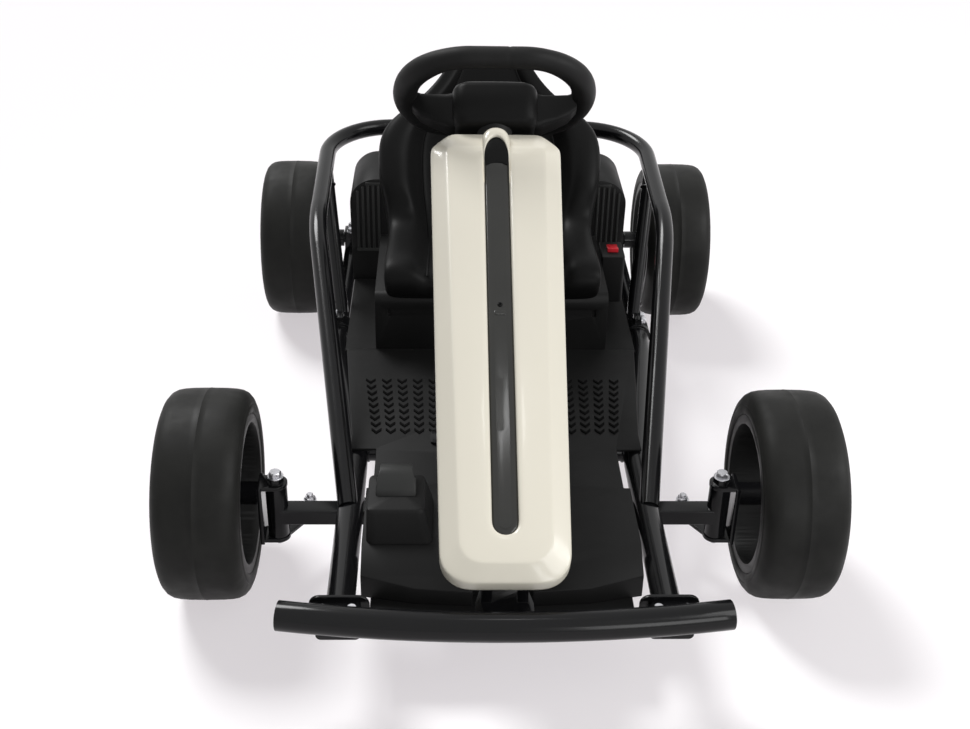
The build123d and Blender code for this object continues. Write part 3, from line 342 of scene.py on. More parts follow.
def make_finish(name, colours):
    """A finish with patches of tone, an uneven sheen and a fine grain."""
    colour, rough, spread, metal, coat, reflection, patch, patch_depth, grain, grain_depth = SURFACES[name]
    base = getattr(colours, colour)
    material = bpy.data.materials.new(name)
    material.use_nodes = True
    tree = material.node_tree
    shader = tree.nodes["Principled BSDF"]
    shader.inputs["Metallic"].default_value = metal
    shader.inputs["Coat Weight"].default_value = coat
    shader.inputs["Coat Roughness"].default_value = 0.06
    shader.inputs["Specular IOR Level"].default_value = reflection
    place = node_of(tree, "ShaderNodeTexCoord")
    tone = node_of(tree, "ShaderNodeTexNoise", Scale=1000 / patch, Detail=4.0, Roughness=0.55)
    mix = node_of(tree, "ShaderNodeMix", data_type="RGBA")
    mix.inputs["A"].default_value = (*(c * (1 - patch_depth) for c in base), 1)
    mix.inputs["B"].default_value = (*(min(1, c * (1 + patch_depth)) for c in base), 1)
    sheen = node_of(tree, "ShaderNodeTexNoise", Scale=1400 / patch, Detail=3.0)
    span = node_of(tree, "ShaderNodeMapRange")
    span.inputs["To Min"].default_value = rough - spread
    span.inputs["To Max"].default_value = rough + spread
    fine = node_of(tree, "ShaderNodeTexNoise", Scale=1000 / grain, Detail=2.0)
    bump = node_of(tree, "ShaderNodeBump", Strength=0.6, Distance=grain_depth * MM)
    for noise in (tone, sheen, fine):
        tree.links.new(place.outputs["Object"], noise.inputs["Vector"])
    tree.links.new(tone.outputs["Fac"], mix.inputs["Factor"])
    tree.links.new(sheen.outputs["Fac"], span.inputs["Value"])
    tree.links.new(span.outputs["Result"], shader.inputs["Roughness"])
    tree.links.new(fine.outputs["Fac"], bump.inputs["Height"])
    tree.links.new(bump.outputs["Normal"], shader.inputs["Normal"])
    tree.links.new(mix.outputs["Result"], shader.inputs["Base Color"])
    FINISHES[name] = material
    return material


# Settings that a user would change


class KartColours(PropertyGroup):
    """Base colours of the finishes."""

    rubber: FloatVectorProperty(name="Rubber", description="Colour of the tyres", subtype="COLOR",
                                default=(0.0085, 0.0085, 0.0078), min=0, max=1)
    plastic: FloatVectorProperty(name="Plastic", description="Colour of the moulded black parts", subtype="COLOR",
                                 default=(0.006, 0.006, 0.006), min=0, max=1)
    paint: FloatVectorProperty(name="Paint", description="Colour of the frame tubes", subtype="COLOR",
                               default=(0.004, 0.004, 0.0045), min=0, max=1)
    zinc: FloatVectorProperty(name="Zinc", description="Colour of bolts and rods", subtype="COLOR",
                              default=(0.46, 0.46, 0.48), min=0, max=1)
    ivory: FloatVectorProperty(name="Ivory", description="Colour of the cowl", subtype="COLOR",
                               default=(0.70, 0.665, 0.57), min=0, max=1)
    smoke: FloatVectorProperty(name="Smoke", description="Colour of the strip in the cowl", subtype="COLOR",
                               default=(0.020, 0.020, 0.018), min=0, max=1)
    grip: FloatVectorProperty(name="Grip", description="Colour of the steering wheel", subtype="COLOR",
                              default=(0.007, 0.007, 0.007), min=0, max=1)
    grey: FloatVectorProperty(name="Grey", description="Colour of the ribs on the side covers", subtype="COLOR",
                              default=(0.022, 0.0225, 0.022), min=0, max=1)
    # Painted shade: this black stands in for the shade inside the grooves of the floor's grip pattern.
    black: FloatVectorProperty(name="Black", description="Colour of the floor's grip pattern", subtype="COLOR",
                               default=(0.004, 0.004, 0.004), min=0, max=1)
    red: FloatVectorProperty(name="Red", description="Colour of the switch", subtype="COLOR",
                             default=(0.55, 0.02, 0.03), min=0, max=1)


class KartSizes(PropertyGroup):
    """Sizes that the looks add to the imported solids."""

    edge: FloatProperty(name="Edge", description="Rounding of moulded edges, in millimetres", default=2.0, min=0.2, max=6)
    wheel_steps: IntProperty(name="Wheel steps", description="Faces round a wheel", default=112, min=24, max=256)
    weld: FloatProperty(name="Weld", description="Radius of the weld beads, in millimetres", default=2.6, min=1, max=6)


class StageSettings(PropertyGroup):
    """Camera and lights."""

    lens: FloatProperty(name="Lens", description="Focal length in millimetres", default=48.25, min=10, max=200)
    key_power: FloatProperty(name="Key", description="Strength of the light from behind", default=2.3, min=0)
    fill_power: FloatProperty(name="Fill", description="Power of the side lights in watts", default=20, min=0)
    sky: FloatProperty(name="Sky", description="Strength of the light from all round", default=0.11, min=0)


# Wheels

TYRE_PROFILE = [
    # distance from the middle plane, radius, for one half from the crown to the bead
    (0, 126.75), (0.5, 126.7), (0.8, 126.5), (8, 126.4), (20, 126.2), (30, 125.5), (37, 124.2), (42.5, 121.4),
    (46.6, 116.8), (48.9, 111.4), (49.6, 108.6), (49.1, 108.0), (49.1, 107.0), (49.9, 106.3), (50.0, 101.8),
    (49.5, 98.4), (48.3, 96.7), (46.0, 96.3), (44.2, 96.2), (44.2, 90.4), (30, 90.4),
]
CAP_PROFILE = [
    # distance out along the axle, radius
    (36, 21), (42.5, 21), (44.5, 20), (45.2, 18), (44.4, 16.4), (44.4, 12), (45.6, 11), (46.2, 8), (46.4, 0),
]


def wheel_body(corner):
    """The body that a corner's wheel is."""
    end, side = corner.split("_")
    return f"{end}_wheel_{side}"


class KART_OT_tyres(Operator):
    """Slick foam tyres with a moulding line round the crown and a ring on each wall"""

    bl_idname = "kart.tyres"
    bl_label = "Tyres"

    def execute(self, context):
        profile = TYRE_PROFILE + [(-a, r) for a, r in reversed(TYRE_PROFILE[1:])]
        for corner in CORNERS:
            centre = middle(f"{corner}_tyre")
            steps = context.scene.kart_sizes.wheel_steps
            tyre = turned(f"slick_tyre_{corner}", profile, centre, (1, 0, 0), steps, closed=True)
            smooth(tyre, 50)
            settle(tyre, wheel_body(corner), "foam_rubber", [f"{corner}_tyre"])
        return {"FINISHED"}


class KART_OT_rims(Operator):
    """Moulded rims with a centre cap and five wheel nuts"""

    bl_idname = "kart.rims"
    bl_label = "Rims"

    def execute(self, context):
        for corner in CORNERS:
            centre = middle(f"{corner}_tyre")
            out = Vector((1, 0, 0)) if centre.x > 0 else Vector((-1, 0, 0))
            rim = soft_copy(f"{corner}_rim", f"spoked_rim_{corner}", 0.9, 2)
            settle(rim, wheel_body(corner), "rim_plastic", [f"{corner}_rim"])
            cap = turned(f"hub_cap_{corner}", CAP_PROFILE, centre, out, 48)
            smooth(cap)
            settle(cap, wheel_body(corner), "grained_plastic")
            spots = []
            for number in range(5):
                turn = pi / 2 + tau * (number + 0.5) / 5
                point = centre + out * 34 * MM + Vector((0, cos(turn), sin(turn))) * 30 * MM
                spots.append(turn_to(point, out))
            nuts = repeated(lock_nut(9, 5, 2.4), spots, f"wheel_nuts_{corner}")
            smooth(nuts)
            settle(nuts, wheel_body(corner), "zinc")
        return {"FINISHED"}


# Frame

FRAME_PIECES = {
    # node: (piece, edge rounding)
    "front_bumper": ("bumper_tube", 1.6),
    "front_axle_beam": ("axle_beam", 1.0),
    "lower_rail_right": ("lower_tube_right", 0.8),
    "lower_rail_left": ("lower_tube_left", 0.8),
    "extension_tube_right": ("sliding_tube_right", 0.8),
    "extension_tube_left": ("sliding_tube_left", 0.8),
    "cowl_bracket": ("toe_bracket", 0.8),
    "column_support": ("column_stand", 0.8),
}
FLANGE_FOOT = 98
PLAIN_TUBES = ("cross_tube_front", "cross_tube_middle", "cross_tube_rear", "side_tube_right", "side_tube_left",
               "hoop_strut_right", "hoop_strut_left", "seat_hoop")
WELDS = [
    # across, back, up, direction of the tube, its radius; mirrored to the other side
    (164.5, 120, 105, (1, 0, 0), 12.5),
    (206.5, 400, 105, (1, 0, 0), 12.5),
    (210.0, 660, 105, (1, 0, 0), 10.0),
    (245.5, 585, 277, (0.13, 0.6, 0.79), 10.0),
    (226.0, 491, 124, (0.13, 0.6, 0.79), 10.0),
]


class KART_OT_frame(Operator):
    """Painted tubes with rounded edges, weld beads and plugs in the open ends"""

    bl_idname = "kart.frame"
    bl_label = "Frame"

    def execute(self, context):
        flange = at(0, -150, FLANGE_FOOT)
        for node, (name, width) in FRAME_PIECES.items():
            piece = soft_copy(node, name, width)
            for vert in piece.data.vertices:
                if vert.co.y < flange.y and vert.co.z < flange.z and "rail" in node:
                    vert.co.z = flange.z
            settle(piece, "chassis", "gloss_paint", [node])
        for node in PLAIN_TUBES:
            paint_node(node, "gloss_paint")
        beads = []
        weld = context.scene.kart_sizes.weld
        for x, back, z, along, radius in WELDS:
            for side in SIDES.values():
                direction = Vector((side * along[0], along[1], along[2]))
                round_bead = [(weld * sin(t), radius + weld * (cos(t) - 0.3)) for t in (tau * n / 8 for n in range(8))]
                beads.append(turned("bead", round_bead, at(side * x, back, z), direction, 40, closed=True))
        welds = joined(beads, "weld_beads")
        smooth(welds, 80)
        settle(welds, "chassis", "gloss_paint")
        plug = [(-6, 0), (-6, 9), (0, 9), (0.2, 11.3), (2.4, 11), (3.6, 9), (4, 0)]
        plugs = [turned("plug", plug, at(side * 222, 770, 105), (0, 1, 0), 48) for side in SIDES.values()]
        tail_plugs = joined(plugs, "tail_plugs")
        smooth(tail_plugs)
        settle(tail_plugs, "chassis", "grained_plastic")
        return {"FINISHED"}


BOLT_SPOTS = [
    # across, back, up, direction, mirrored to the other side
    (163, -186, 107, (0, 1, 0)),
    (205, -186, 107, (0, 1, 0)),
    (197, -206, 123.2, (0, 0, 1)),
    (165, -206, 123.2, (0, 0, 1)),
    (227, 429, 130, (1, 0, 0)),
    (227, 443, 130, (1, 0, 0)),
    (222, 704, 143, (0, 0, 1)),
    (222, 724, 143, (0, 0, 1)),
    (50, 120, 129, (0, 0, 1)),
]


class KART_OT_fasteners(Operator):
    """Bolts of the flanges, clamps, saddles and kingpins"""

    bl_idname = "kart.fasteners"
    bl_label = "Fasteners"

    def execute(self, context):
        spots = []
        for x, back, z, along in BOLT_SPOTS:
            for side in SIDES.values():
                spots.append(turn_to(at(side * x, back, z), (side * along[0], along[1], along[2])))
        bolts = repeated(hex_bolt(10, 5), spots, "frame_bolts")
        smooth(bolts)
        settle(bolts, "chassis", "zinc")
        for name, side in SIDES.items():
            body = f"knuckle_assembly_{name}"
            knuckle = soft_copy(f"knuckle_{name}", f"steering_knuckle_{name}", 0.8)
            settle(knuckle, body, "gloss_paint", [f"knuckle_{name}"])
            kingpin = repeated(hex_bolt(13, 6), [turn_to(at(side * 268, 0, 151.5), (0, 0, 1))], f"kingpin_head_{name}")
            smooth(kingpin)
            settle(kingpin, body, "zinc")
            nuts = repeated(lock_nut(12, 6, 4), [
                turn_to(at(side * 268, 0, 62), (0, 0, -1)),
                turn_to(at(side * 234, 45, 83.6), (0, 0, 1)),
                turn_to(at(side * 234, 45, 62), (0, 0, -1)),
            ], f"knuckle_nuts_{name}")
            smooth(nuts)
            settle(nuts, body, "zinc")
            paint_node(f"tie_rod_{name}", "zinc")
        paint_node("rear_axle", "gloss_paint")
        paint_node("steering_column", "zinc")
        return {"FINISHED"}


# Cowl

COWL_TOE = (-196.0, 160.0)
COWL_LOW = -6.0
COWL_HIGH = 643.0
COWL_SLOPE = atan2(286.0, 596.0)
COWL_STEPS = 160
SLOT_HALF = 15.8
ARCH_AT = 587
ARCH_REACH = 35


def on_cowl(x, along, height):
    """A point over the cowl's slope, from millimetres across, up the slope and above its edge line."""
    back = COWL_TOE[0] + along * cos(COWL_SLOPE) - height * sin(COWL_SLOPE)
    return at(x, back, COWL_TOE[1] + along * sin(COWL_SLOPE) + height * cos(COWL_SLOPE))


def rounded_outline(corners, bends, steps):
    """Points spread evenly round a closed outline whose corners are bent to given radii."""
    rough = []
    for number, corner in enumerate(corners):
        here = Vector(corner)
        to_last = (Vector(corners[number - 1]) - here).normalized()
        to_next = (Vector(corners[(number + 1) % len(corners)]) - here).normalized()
        half = acos(max(-1, min(1, to_last.dot(to_next)))) / 2
        reach = bends[number] / max(1e-6, sin(half)) * cos(half)
        centre = here + (to_last + to_next).normalized() * bends[number] / sin(half)
        start = here + to_last * reach - centre
        end = here + to_next * reach - centre
        for share in range(13):
            rough.append(centre + start.slerp(end, share / 12) * bends[number] if bends[number] > 0 else here)
    return spread_evenly(rough, steps)


def spread_evenly(points, steps):
    """As many points as asked, the same distance apart along a closed line."""
    spans = [(points[(n + 1) % len(points)] - p).length for n, p in enumerate(points)]
    total = sum(spans)
    placed = []
    number = 0
    passed = 0.0
    for step in range(steps):
        goal = total * step / steps
        while passed + spans[number] < goal:
            passed += spans[number]
            number += 1
        share = (goal - passed) / spans[number] if spans[number] else 0
        placed.append(points[number].lerp(points[(number + 1) % len(points)], share))
    return placed


def cowl_outline(inset):
    """The cowl's plan, from its toe's middle round by the left side; its head slopes more than its sides."""
    toe = 71 - inset
    head = 86.5 - inset
    low = COWL_LOW + inset * 0.85
    high = COWL_HIGH - inset * 1.6
    bend = 34 - inset * 0.35
    cut = max(3, 26 - inset)
    corners = [(0, low), (toe, low), (head, high - cut), (head - cut, high)]
    corners += [(-x, y) for x, y in reversed(corners[1:])]
    tight = min(9, cut)
    return rounded_outline(corners, [0, bend, tight, tight, tight, tight, bend], COWL_STEPS)


def slot_outline(grow, high, reach):
    """The slot's plan, from its toe end's middle round by the left side, with an arched head."""
    toe = 14.2 + grow
    head = SLOT_HALF + grow
    low = 60
    arch = (pi * n / 24 for n in range(25))
    lower = [Vector((toe * sin(t), low - toe * cos(t))) for t in (pi / 2 * n / 12 for n in range(13))]
    upper = [Vector((head * cos(t), high + (reach + grow) * sin(t))) for t in arch]
    other = [Vector((-p.x, p.y)) for p in reversed(lower[1:])]
    return spread_evenly(lower + upper + other, COWL_STEPS)


def ease(value, start, end):
    """A smooth rise from 0 at the start to 1 at the end."""
    share = max(0.0, min(1.0, (value - start) / (end - start)))
    return share * share * (3 - 2 * share)


def hood_station(share):
    """The hood's inner edge, outer edge and crest height, from its foot to its crown."""
    if share < 0.5:
        part = share / 0.5
        inner = Vector((SLOT_HALF + 0.1, 548 + 39 * part))
        outer = Vector((16.6 + 1.9 * part, 548 + 74 * part))
    else:
        turn = (share - 0.5) * pi
        inner = Vector((SLOT_HALF * cos(turn), ARCH_AT + ARCH_REACH * sin(turn)))
        outer = Vector((18.5 * cos(turn), 622 + 18.5 * sin(turn)))
    return inner, outer, 13.9 + 0.8 * ease(share, 0, 0.3) + 5.6 * ease(share, 0.35, 0.85)


def strip_height(along, height):
    """The strip's surface, lifted under the hood at the slot's head."""
    return height + 5.2 * ease(along, 560, 606)


class KART_OT_cowl(Operator):
    """The glossy cowl with its bevelled sides and the hood at its slot's head"""

    bl_idname = "kart.cowl"
    bl_label = "Cowl"

    def execute(self, context):
        levels = [(height, cowl_outline(inset)) for height, inset in (
            (-18.0, 0), (-17.4, 0), (-1.6, 0), (0.2, 0.6), (1.6, 2.4), (10.8, 19.0), (11.8, 20.8), (12.3, 23),
        )]
        inner = cowl_outline(28)
        lip = slot_outline(9.5, 583, 16)
        levels += [(12.7, inner), (13.5, [a.lerp(b, 0.5) for a, b in zip(inner, lip)]), (13.8, lip)]
        levels += [(height, slot_outline(grow, 583, 16)) for height, grow in (
            (13.8, 6.2), (13.5, 3.8), (12.7, 1.6), (11.2, 0.4), (7.0, 0.1),
        )]
        cowl = skin("cowl_skin", [[on_cowl(p.x, p.y, height) for p in outline] for height, outline in levels])
        apply_modifier(cowl, "SOLIDIFY", thickness=2.4 * MM, offset=-1)
        apply_modifier(cowl, "SUBSURF", levels=1, render_levels=1)
        smooth(cowl, 50)
        settle(cowl, "chassis", "ivory_gloss", ["front_cowl"])
        half_path = [hood_station(n / 28) for n in range(29)]
        mirrored = [(Vector((-i.x, i.y)), Vector((-o.x, o.y)), h) for i, o, h in reversed(half_path[:-1])]
        loops = []
        for inner, outer, crest in half_path + mirrored:
            section = [
                (0, 7), (0, crest - 2.4), (0.05, crest - 1), (0.18, crest - 0.2), (0.42, crest), (0.72, crest - 1),
                (0.92, crest - 3.2), (1, min(crest - 2, 12.2)), (1, 6),
            ]
            loops.append([on_cowl(*inner.lerp(outer, share), up) for share, up in section])
        loops.insert(0, [sum(loops[0], Vector()) / len(loops[0])] * len(loops[0]))
        loops.append([sum(loops[-1], Vector()) / len(loops[-1])] * len(loops[-1]))
        hood = skin("slot_hood", loops)
        apply_modifier(hood, "SUBSURF", levels=1, render_levels=1)
        smooth(hood, 60)
        settle(hood, "chassis", "ivory_gloss")
        return {"FINISHED"}


class KART_OT_strip(Operator):
    """The smoked strip in the cowl's slot, with its cap under the hood, a lug and a screw"""

    bl_idname = "kart.strip"
    bl_label = "Strip"

    def execute(self, context):
        sections = [(3.0, 4), (5.0, 4), (6.4, 2.4), (8.2, -0.2), (9.4, -0.9), (9.9, -2.6), (10.4, -7)]
        loops = []
        for height, grow in sections:
            outline = slot_outline(grow, ARCH_AT, ARCH_REACH)
            loops.append([on_cowl(p.x, p.y, strip_height(p.y, height)) for p in outline])
        spine = [max(74, min(590, p.y)) for p in slot_outline(0, ARCH_AT, ARCH_REACH)]
        for end, height in ((0, 3.0), (len(loops), 10.6)):
            loops.insert(end, [on_cowl(0, y, strip_height(y, height)) for y in spine])
        strip = skin("slot_strip", loops)
        smooth(strip, 50)
        settle(strip, "chassis", "smoked_strip", ["cowl_strip"])
        loops = []
        for grow, up in ((0.3, 8.0), (0.3, 10.6), (0, 11.1), (-1.2, 11.4), (-6, 11.6)):
            arch = []
            for turn in (pi * n / 30 for n in range(31)):
                arch.append(Vector(((SLOT_HALF + grow) * cos(turn), ARCH_AT + (ARCH_REACH + grow) * sin(turn))))
            brow = []
            for x in (-1 + n / 8 for n in range(1, 16)):
                brow.append(Vector(((SLOT_HALF + grow) * x, ARCH_AT - 11 - grow + 4 * (1 - x * x))))
            loops.append([on_cowl(p.x, p.y, strip_height(p.y, up)) for p in arch + brow])
        loops.append([on_cowl(0, 600, strip_height(600, 11.6))] * 46)
        cap = skin("strip_cap", loops)
        smooth(cap, 40)
        settle(cap, "chassis", "satin_plastic")
        face = on_cowl(0, 0, 1) - on_cowl(0, 0, 0)
        screw = repeated(pan_screw(3.2), [turn_to(on_cowl(0, 353, 10.5), face)], "strip_screw")
        smooth(screw)
        settle(screw, "chassis", "satin_plastic")
        lug_loops = []
        for half_width, half_tall, up in ((7, 3.4, 9.8), (7, 3.4, 10.8), (6.7, 3.1, 11), (5, 2, 11)):
            corners = [(half_width, half_tall), (-half_width, half_tall), (-half_width, -half_tall), (half_width, -half_tall)]
            lug_loops.append([on_cowl(p.x, 341 + p.y, up) for p in rounded_outline(corners, [2.2] * 4, 32)])
        lug_loops.append([on_cowl(0, 341, 11)] * 32)
        lug = skin("strip_lug", lug_loops)
        smooth(lug, 40)
        settle(lug, "chassis", "smoked_strip")
        return {"FINISHED"}


# Steering wheel

WHEEL_MIDDLE = at(0, 440, 474)
COLUMN_TILT = radians(42)
WHEEL_UP = Vector((0, -sin(COLUMN_TILT), cos(COLUMN_TILT)))
WHEEL_OUT = Vector((0, cos(COLUMN_TILT), sin(COLUMN_TILT)))
WHEEL_CORNERS = [
    (0, 95.5), (66, 95.5), (114, 50), (126, -20), (86, -95), (-86, -95), (-126, -20), (-114, 50), (-66, 95.5),
]
WHEEL_BENDS = [0, 80, 94, 105, 68, 68, 105, 94, 80]
GRIP_SEAMS = (0.022, 0.335, 0.42, 0.58, 0.665)


def on_wheel(x, up, out):
    """A point of the steering wheel, from millimetres across, up it and towards the driver."""
    return WHEEL_MIDDLE + Vector((x * MM, 0, 0)) + WHEEL_UP * up * MM + WHEEL_OUT * out * MM


class KART_OT_steering(Operator):
    """The steering wheel's padded ring with its seams, and the centre with its cover"""

    bl_idname = "kart.steering"
    bl_label = "Steering"

    def execute(self, context):
        count = 220
        line = rounded_outline(WHEEL_CORNERS, WHEEL_BENDS, count)
        loops = []
        for number, point in enumerate(line):
            ahead = line[(number + 1) % count]
            behind = line[number - 1]
            tangent = (ahead - behind).normalized()
            aside = Vector((tangent.y, -tangent.x))
            share = number / count
            gap = min(min(abs(share - seam), 1 - abs(share - seam)) for seam in GRIP_SEAMS) * count
            dip = 0.7 if gap < 0.6 else 0.0
            thick = 14.2 + 2.6 * ease(abs(point.x), 60, 118) - dip
            loop = []
            for turn in (tau * n / 28 for n in range(28)):
                reach = point + aside * thick * cos(turn)
                loop.append(on_wheel(reach.x, reach.y, (thick + 0.6) * sin(turn)))
            loops.append(loop)
        ring = skin("steering_grip", loops, closed=True)
        smooth(ring, 60)
        settle(ring, "steering", "grip_skin", ["steering_rim"])
        boss_levels = [
            # height towards the driver, half width, top, foot
            (-58, 0, 0, 0), (-58, 46, 17, -30), (-57, 50, 21, -33), (-53, 54.5, 25.5, -36), (-46, 57, 27.5, -38),
            (-20, 58, 28.5, -40), (-4, 57, 28, -40), (2, 54, 26, -38), (6, 48, 21, -33), (8, 38, 14, -26), (8.4, 0, 0, -6),
        ]
        loops = []
        for out, half, top, foot in boss_levels:
            corners = [(half, top), (half, foot), (-half, foot), (-half, top)]
            bend = min(half, top - foot) * 0.28
            outline = rounded_outline(corners, [bend] * 4, 72) if half else [Vector((0, (top + foot) / 2))] * 72
            crown = 2.4 if half > 40 else 0
            loops.append([on_wheel(p.x, p.y + crown * (1 - (p.x / 58) ** 2) * (p.y > 0), out) for p in outline])
        pieces = [skin("boss", loops)]
        for side in SIDES.values():
            spoke = []
            for x, top, foot, low, high in (
                (50, 18, -22, -54, -3), (60, 17, -21, -53, -3), (66, 15, -18, -49, -3), (84, 13, -16, -42, -2),
                (100, 11, -14, -34, 0), (112, 9, -12, -20, 5), (120, 7, -9, -8, 8),
            ):
                corners = [(top, high), (foot, high), (foot, low), (top, low)]
                outline = rounded_outline(corners, [4] * 4, 40)
                spoke.append([on_wheel(side * x, p.x - 8, p.y) for p in outline])
            for end in (0, len(spoke)):
                ring_of = spoke[end - 1 if end else 0]
                spoke.insert(end, [sum(ring_of, Vector()) / len(ring_of)] * len(ring_of))
            pieces.append(skin("spoke", spoke))
        foot = []
        for up, half, low, high in ((-34, 34, -44, -4), (-50, 32, -38, -4), (-70, 30, -26, 0), (-88, 29, -12, 6), (-94, 28, -8, 6)):
            corners = [(half, high), (-half, high), (-half, low), (half, low)]
            foot.append([on_wheel(p.x, up, p.y) for p in rounded_outline(corners, [4] * 4, 40)])
        for end in (0, len(foot)):
            ring_of = foot[end - 1 if end else 0]
            foot.insert(end, [sum(ring_of, Vector()) / len(ring_of)] * len(ring_of))
        pieces.append(skin("spoke", foot))
        hub = joined(pieces, "steering_centre")
        smooth(hub, 50)
        settle(hub, "steering", "satin_plastic", ["steering_hub"])
        boot = turned("column_boot", [(-76, 0), (-76, 15), (-72, 18), (-66, 21), (-56, 24), (-56, 0)], WHEEL_MIDDLE, WHEEL_OUT, 48)
        smooth(boot, 50)
        settle(boot, "steering", "grip_skin")
        return {"FINISHED"}


# Seat

SEAT_STATIONS = [
    # back, up, forward tilt of its normal, half width, bolster height, thickness
    (352, 205, 88, 140, 0, 5),
    (345, 216, 82, 148, 3, 10),
    (344, 230, 66, 151, 8, 16),
    (352, 240, 34, 152, 15, 20),
    (372, 243, 10, 152, 19, 22),
    (410, 240, 2, 150, 20, 20),
    (450, 236, 0, 149, 22, 18),
    (486, 233, 4, 150, 28, 18),
    (514, 237, 18, 153, 40, 20),
    (540, 250, 38, 157, 54, 24),
    (562, 272, 50, 164, 62, 26),
    (585, 303, 57, 167, 58, 26),
    (607, 338, 58, 167, 48, 24),
    (624, 365, 58, 150, 36, 22),
    (640, 390, 58, 108, 24, 20),
    (658, 417, 56, 78, 14, 17),
    (676, 442, 52, 60, 8, 14),
    (690, 461, 48, 52, 3, 9),
]
SEAT_SECTION = [
    # share of the half width, share of the bolster height, share of the thickness below
    (0.0, 0.0, 0), (0.24, 0.0, 0), (0.46, 0.0, 0), (0.58, 0.02, 0), (0.62, 0.10, 0), (0.65, 0.34, 0), (0.70, 0.74, 0),
    (0.755, 0.95, 0), (0.84, 1.0, 0), (0.93, 0.98, 0), (0.985, 0.86, 0), (1.0, 0.6, 0), (1.0, 0.2, 0), (0.97, 0.0, 0.45),
    (0.9, 0.0, 0.9), (0.7, 0.0, 1.0), (0.35, 0.0, 1.0), (0.0, 0.0, 1.0),
]
PIPING_SHARE = 0.6


class KART_OT_seat(Operator):
    """The moulded bucket seat with its raised sides"""

    bl_idname = "kart.seat"
    bl_label = "Seat"

    def execute(self, context):
        loops = []
        for back, z, tilt, half, rise, thick in SEAT_STATIONS:
            lean = radians(tilt)
            normal = Vector((-sin(lean), cos(lean)))
            right_way = [(x, h * rise - t * thick) for x, h, t in SEAT_SECTION]
            section = right_way + [(-x, h) for x, h in reversed(right_way[1:-1])]
            loops.append([at(x * half, back + normal.x * h, z + normal.y * h) for x, h in section])
        for end in (loops[0], loops[-1]):
            centre = sum(end, Vector()) / len(end)
            cap = [[p.lerp(centre, 0.35) for p in end], [centre] * len(end)]
            loops = cap[::-1] + loops if end is loops[0] else loops + cap
        seat = skin("bucket_seat", loops)
        apply_modifier(seat, "SUBSURF", levels=2, render_levels=2)
        smooth(seat, 60)
        settle(seat, "chassis", "satin_plastic", ["seat_shell"])
        beads = []
        for side in SIDES.values():
            loops = []
            for back, z, tilt, half, rise, thick in SEAT_STATIONS[3:]:
                lean = radians(tilt)
                over = rise * 0.06 + 0.6
                middle_of = at(side * half * PIPING_SHARE, back - sin(lean) * over, z + cos(lean) * over)
                along = Vector((0, cos(lean), sin(lean)))
                across = Vector((1, 0, 0))
                up = across.cross(along)
                loops.append([middle_of + (across * cos(t) + up * sin(t)) * 1.7 * MM for t in (tau * n / 10 for n in range(10))])
            beads.append(skin("piping", loops))
        piping = joined(beads, "seat_piping")
        apply_modifier(piping, "SUBSURF", levels=2, render_levels=2)
        smooth(piping, 80)
        settle(piping, "chassis", "satin_plastic")
        return {"FINISHED"}


# Moulded body parts

BODY_PIECES = {
    # node: (piece, edge rounding, finish)
    "floor_panel": ("floor_tray", 1.2, "grained_plastic"),
    "battery_box": ("battery_case", 7.0, "grained_plastic"),
    "switch_box": ("switch_case", 1.6, "grained_plastic"),
    "power_switch": ("rocker_switch", 0.6, "switch_red"),
    "drive_unit_right": ("drive_case_right", 2.0, "grained_plastic"),
    "drive_unit_left": ("drive_case_left", 2.0, "grained_plastic"),
}
NOSE_SHARE = 0.66
CHEVRON = [(-6.8, 7.5), (-6.8, 2), (0, -6.5), (6.8, 2), (6.8, 7.5), (0, -1)]
CHEVRON_FRONT = (80, 99, 117.5, 136, 154.5)
CHEVRON_REAR = (82, 103.5, 125, 146, 168)
CHEVRON_ROWS = 9


class KART_OT_body(Operator):
    """Moulded floor, boxes, switch and drive cases with rounded edges, and a grip pattern of raised chevrons in
    painted groove shade
    """

    bl_idname = "kart.body"
    bl_label = "Body"

    def execute(self, context):
        for node, (name, width, finish) in BODY_PIECES.items():
            piece = soft_copy(node, name, width)
            if node == "floor_panel":
                crease = at(0, -92, 0).y
                for vert in piece.data.vertices:
                    if vert.co.y < crease:
                        vert.co.y = crease + (vert.co.y - crease) * NOSE_SHARE
            settle(piece, "chassis", finish, [node])
        # Raised chevrons in near-black painted shade, standing in for the shade inside the floor's recessed V grooves.
        base = [Vector((x * MM, y * MM, -0.3 * MM)) for x, y in CHEVRON]
        top = [Vector((x * MM * 0.86, (y * 0.84 - 0.3) * MM, 1.3 * MM)) for x, y in CHEVRON]
        grip = skin("chevron", [base, top, [Vector((0, -2.6 * MM, 1.3 * MM))] * 6])
        places = []
        for row in range(CHEVRON_ROWS):
            share = row / (CHEVRON_ROWS - 1)
            for front, rear in zip(CHEVRON_FRONT, CHEVRON_REAR):
                for side in SIDES.values():
                    column = front + (rear - front) * share
                    places.append(Matrix.Translation(at(side * column, 136 + 123 * share, 125)))
        groove_shades = repeated(grip, places, "floor_grips")
        smooth(groove_shades, 30)
        settle(groove_shades, "chassis", "pressed_black")
        return {"FINISHED"}


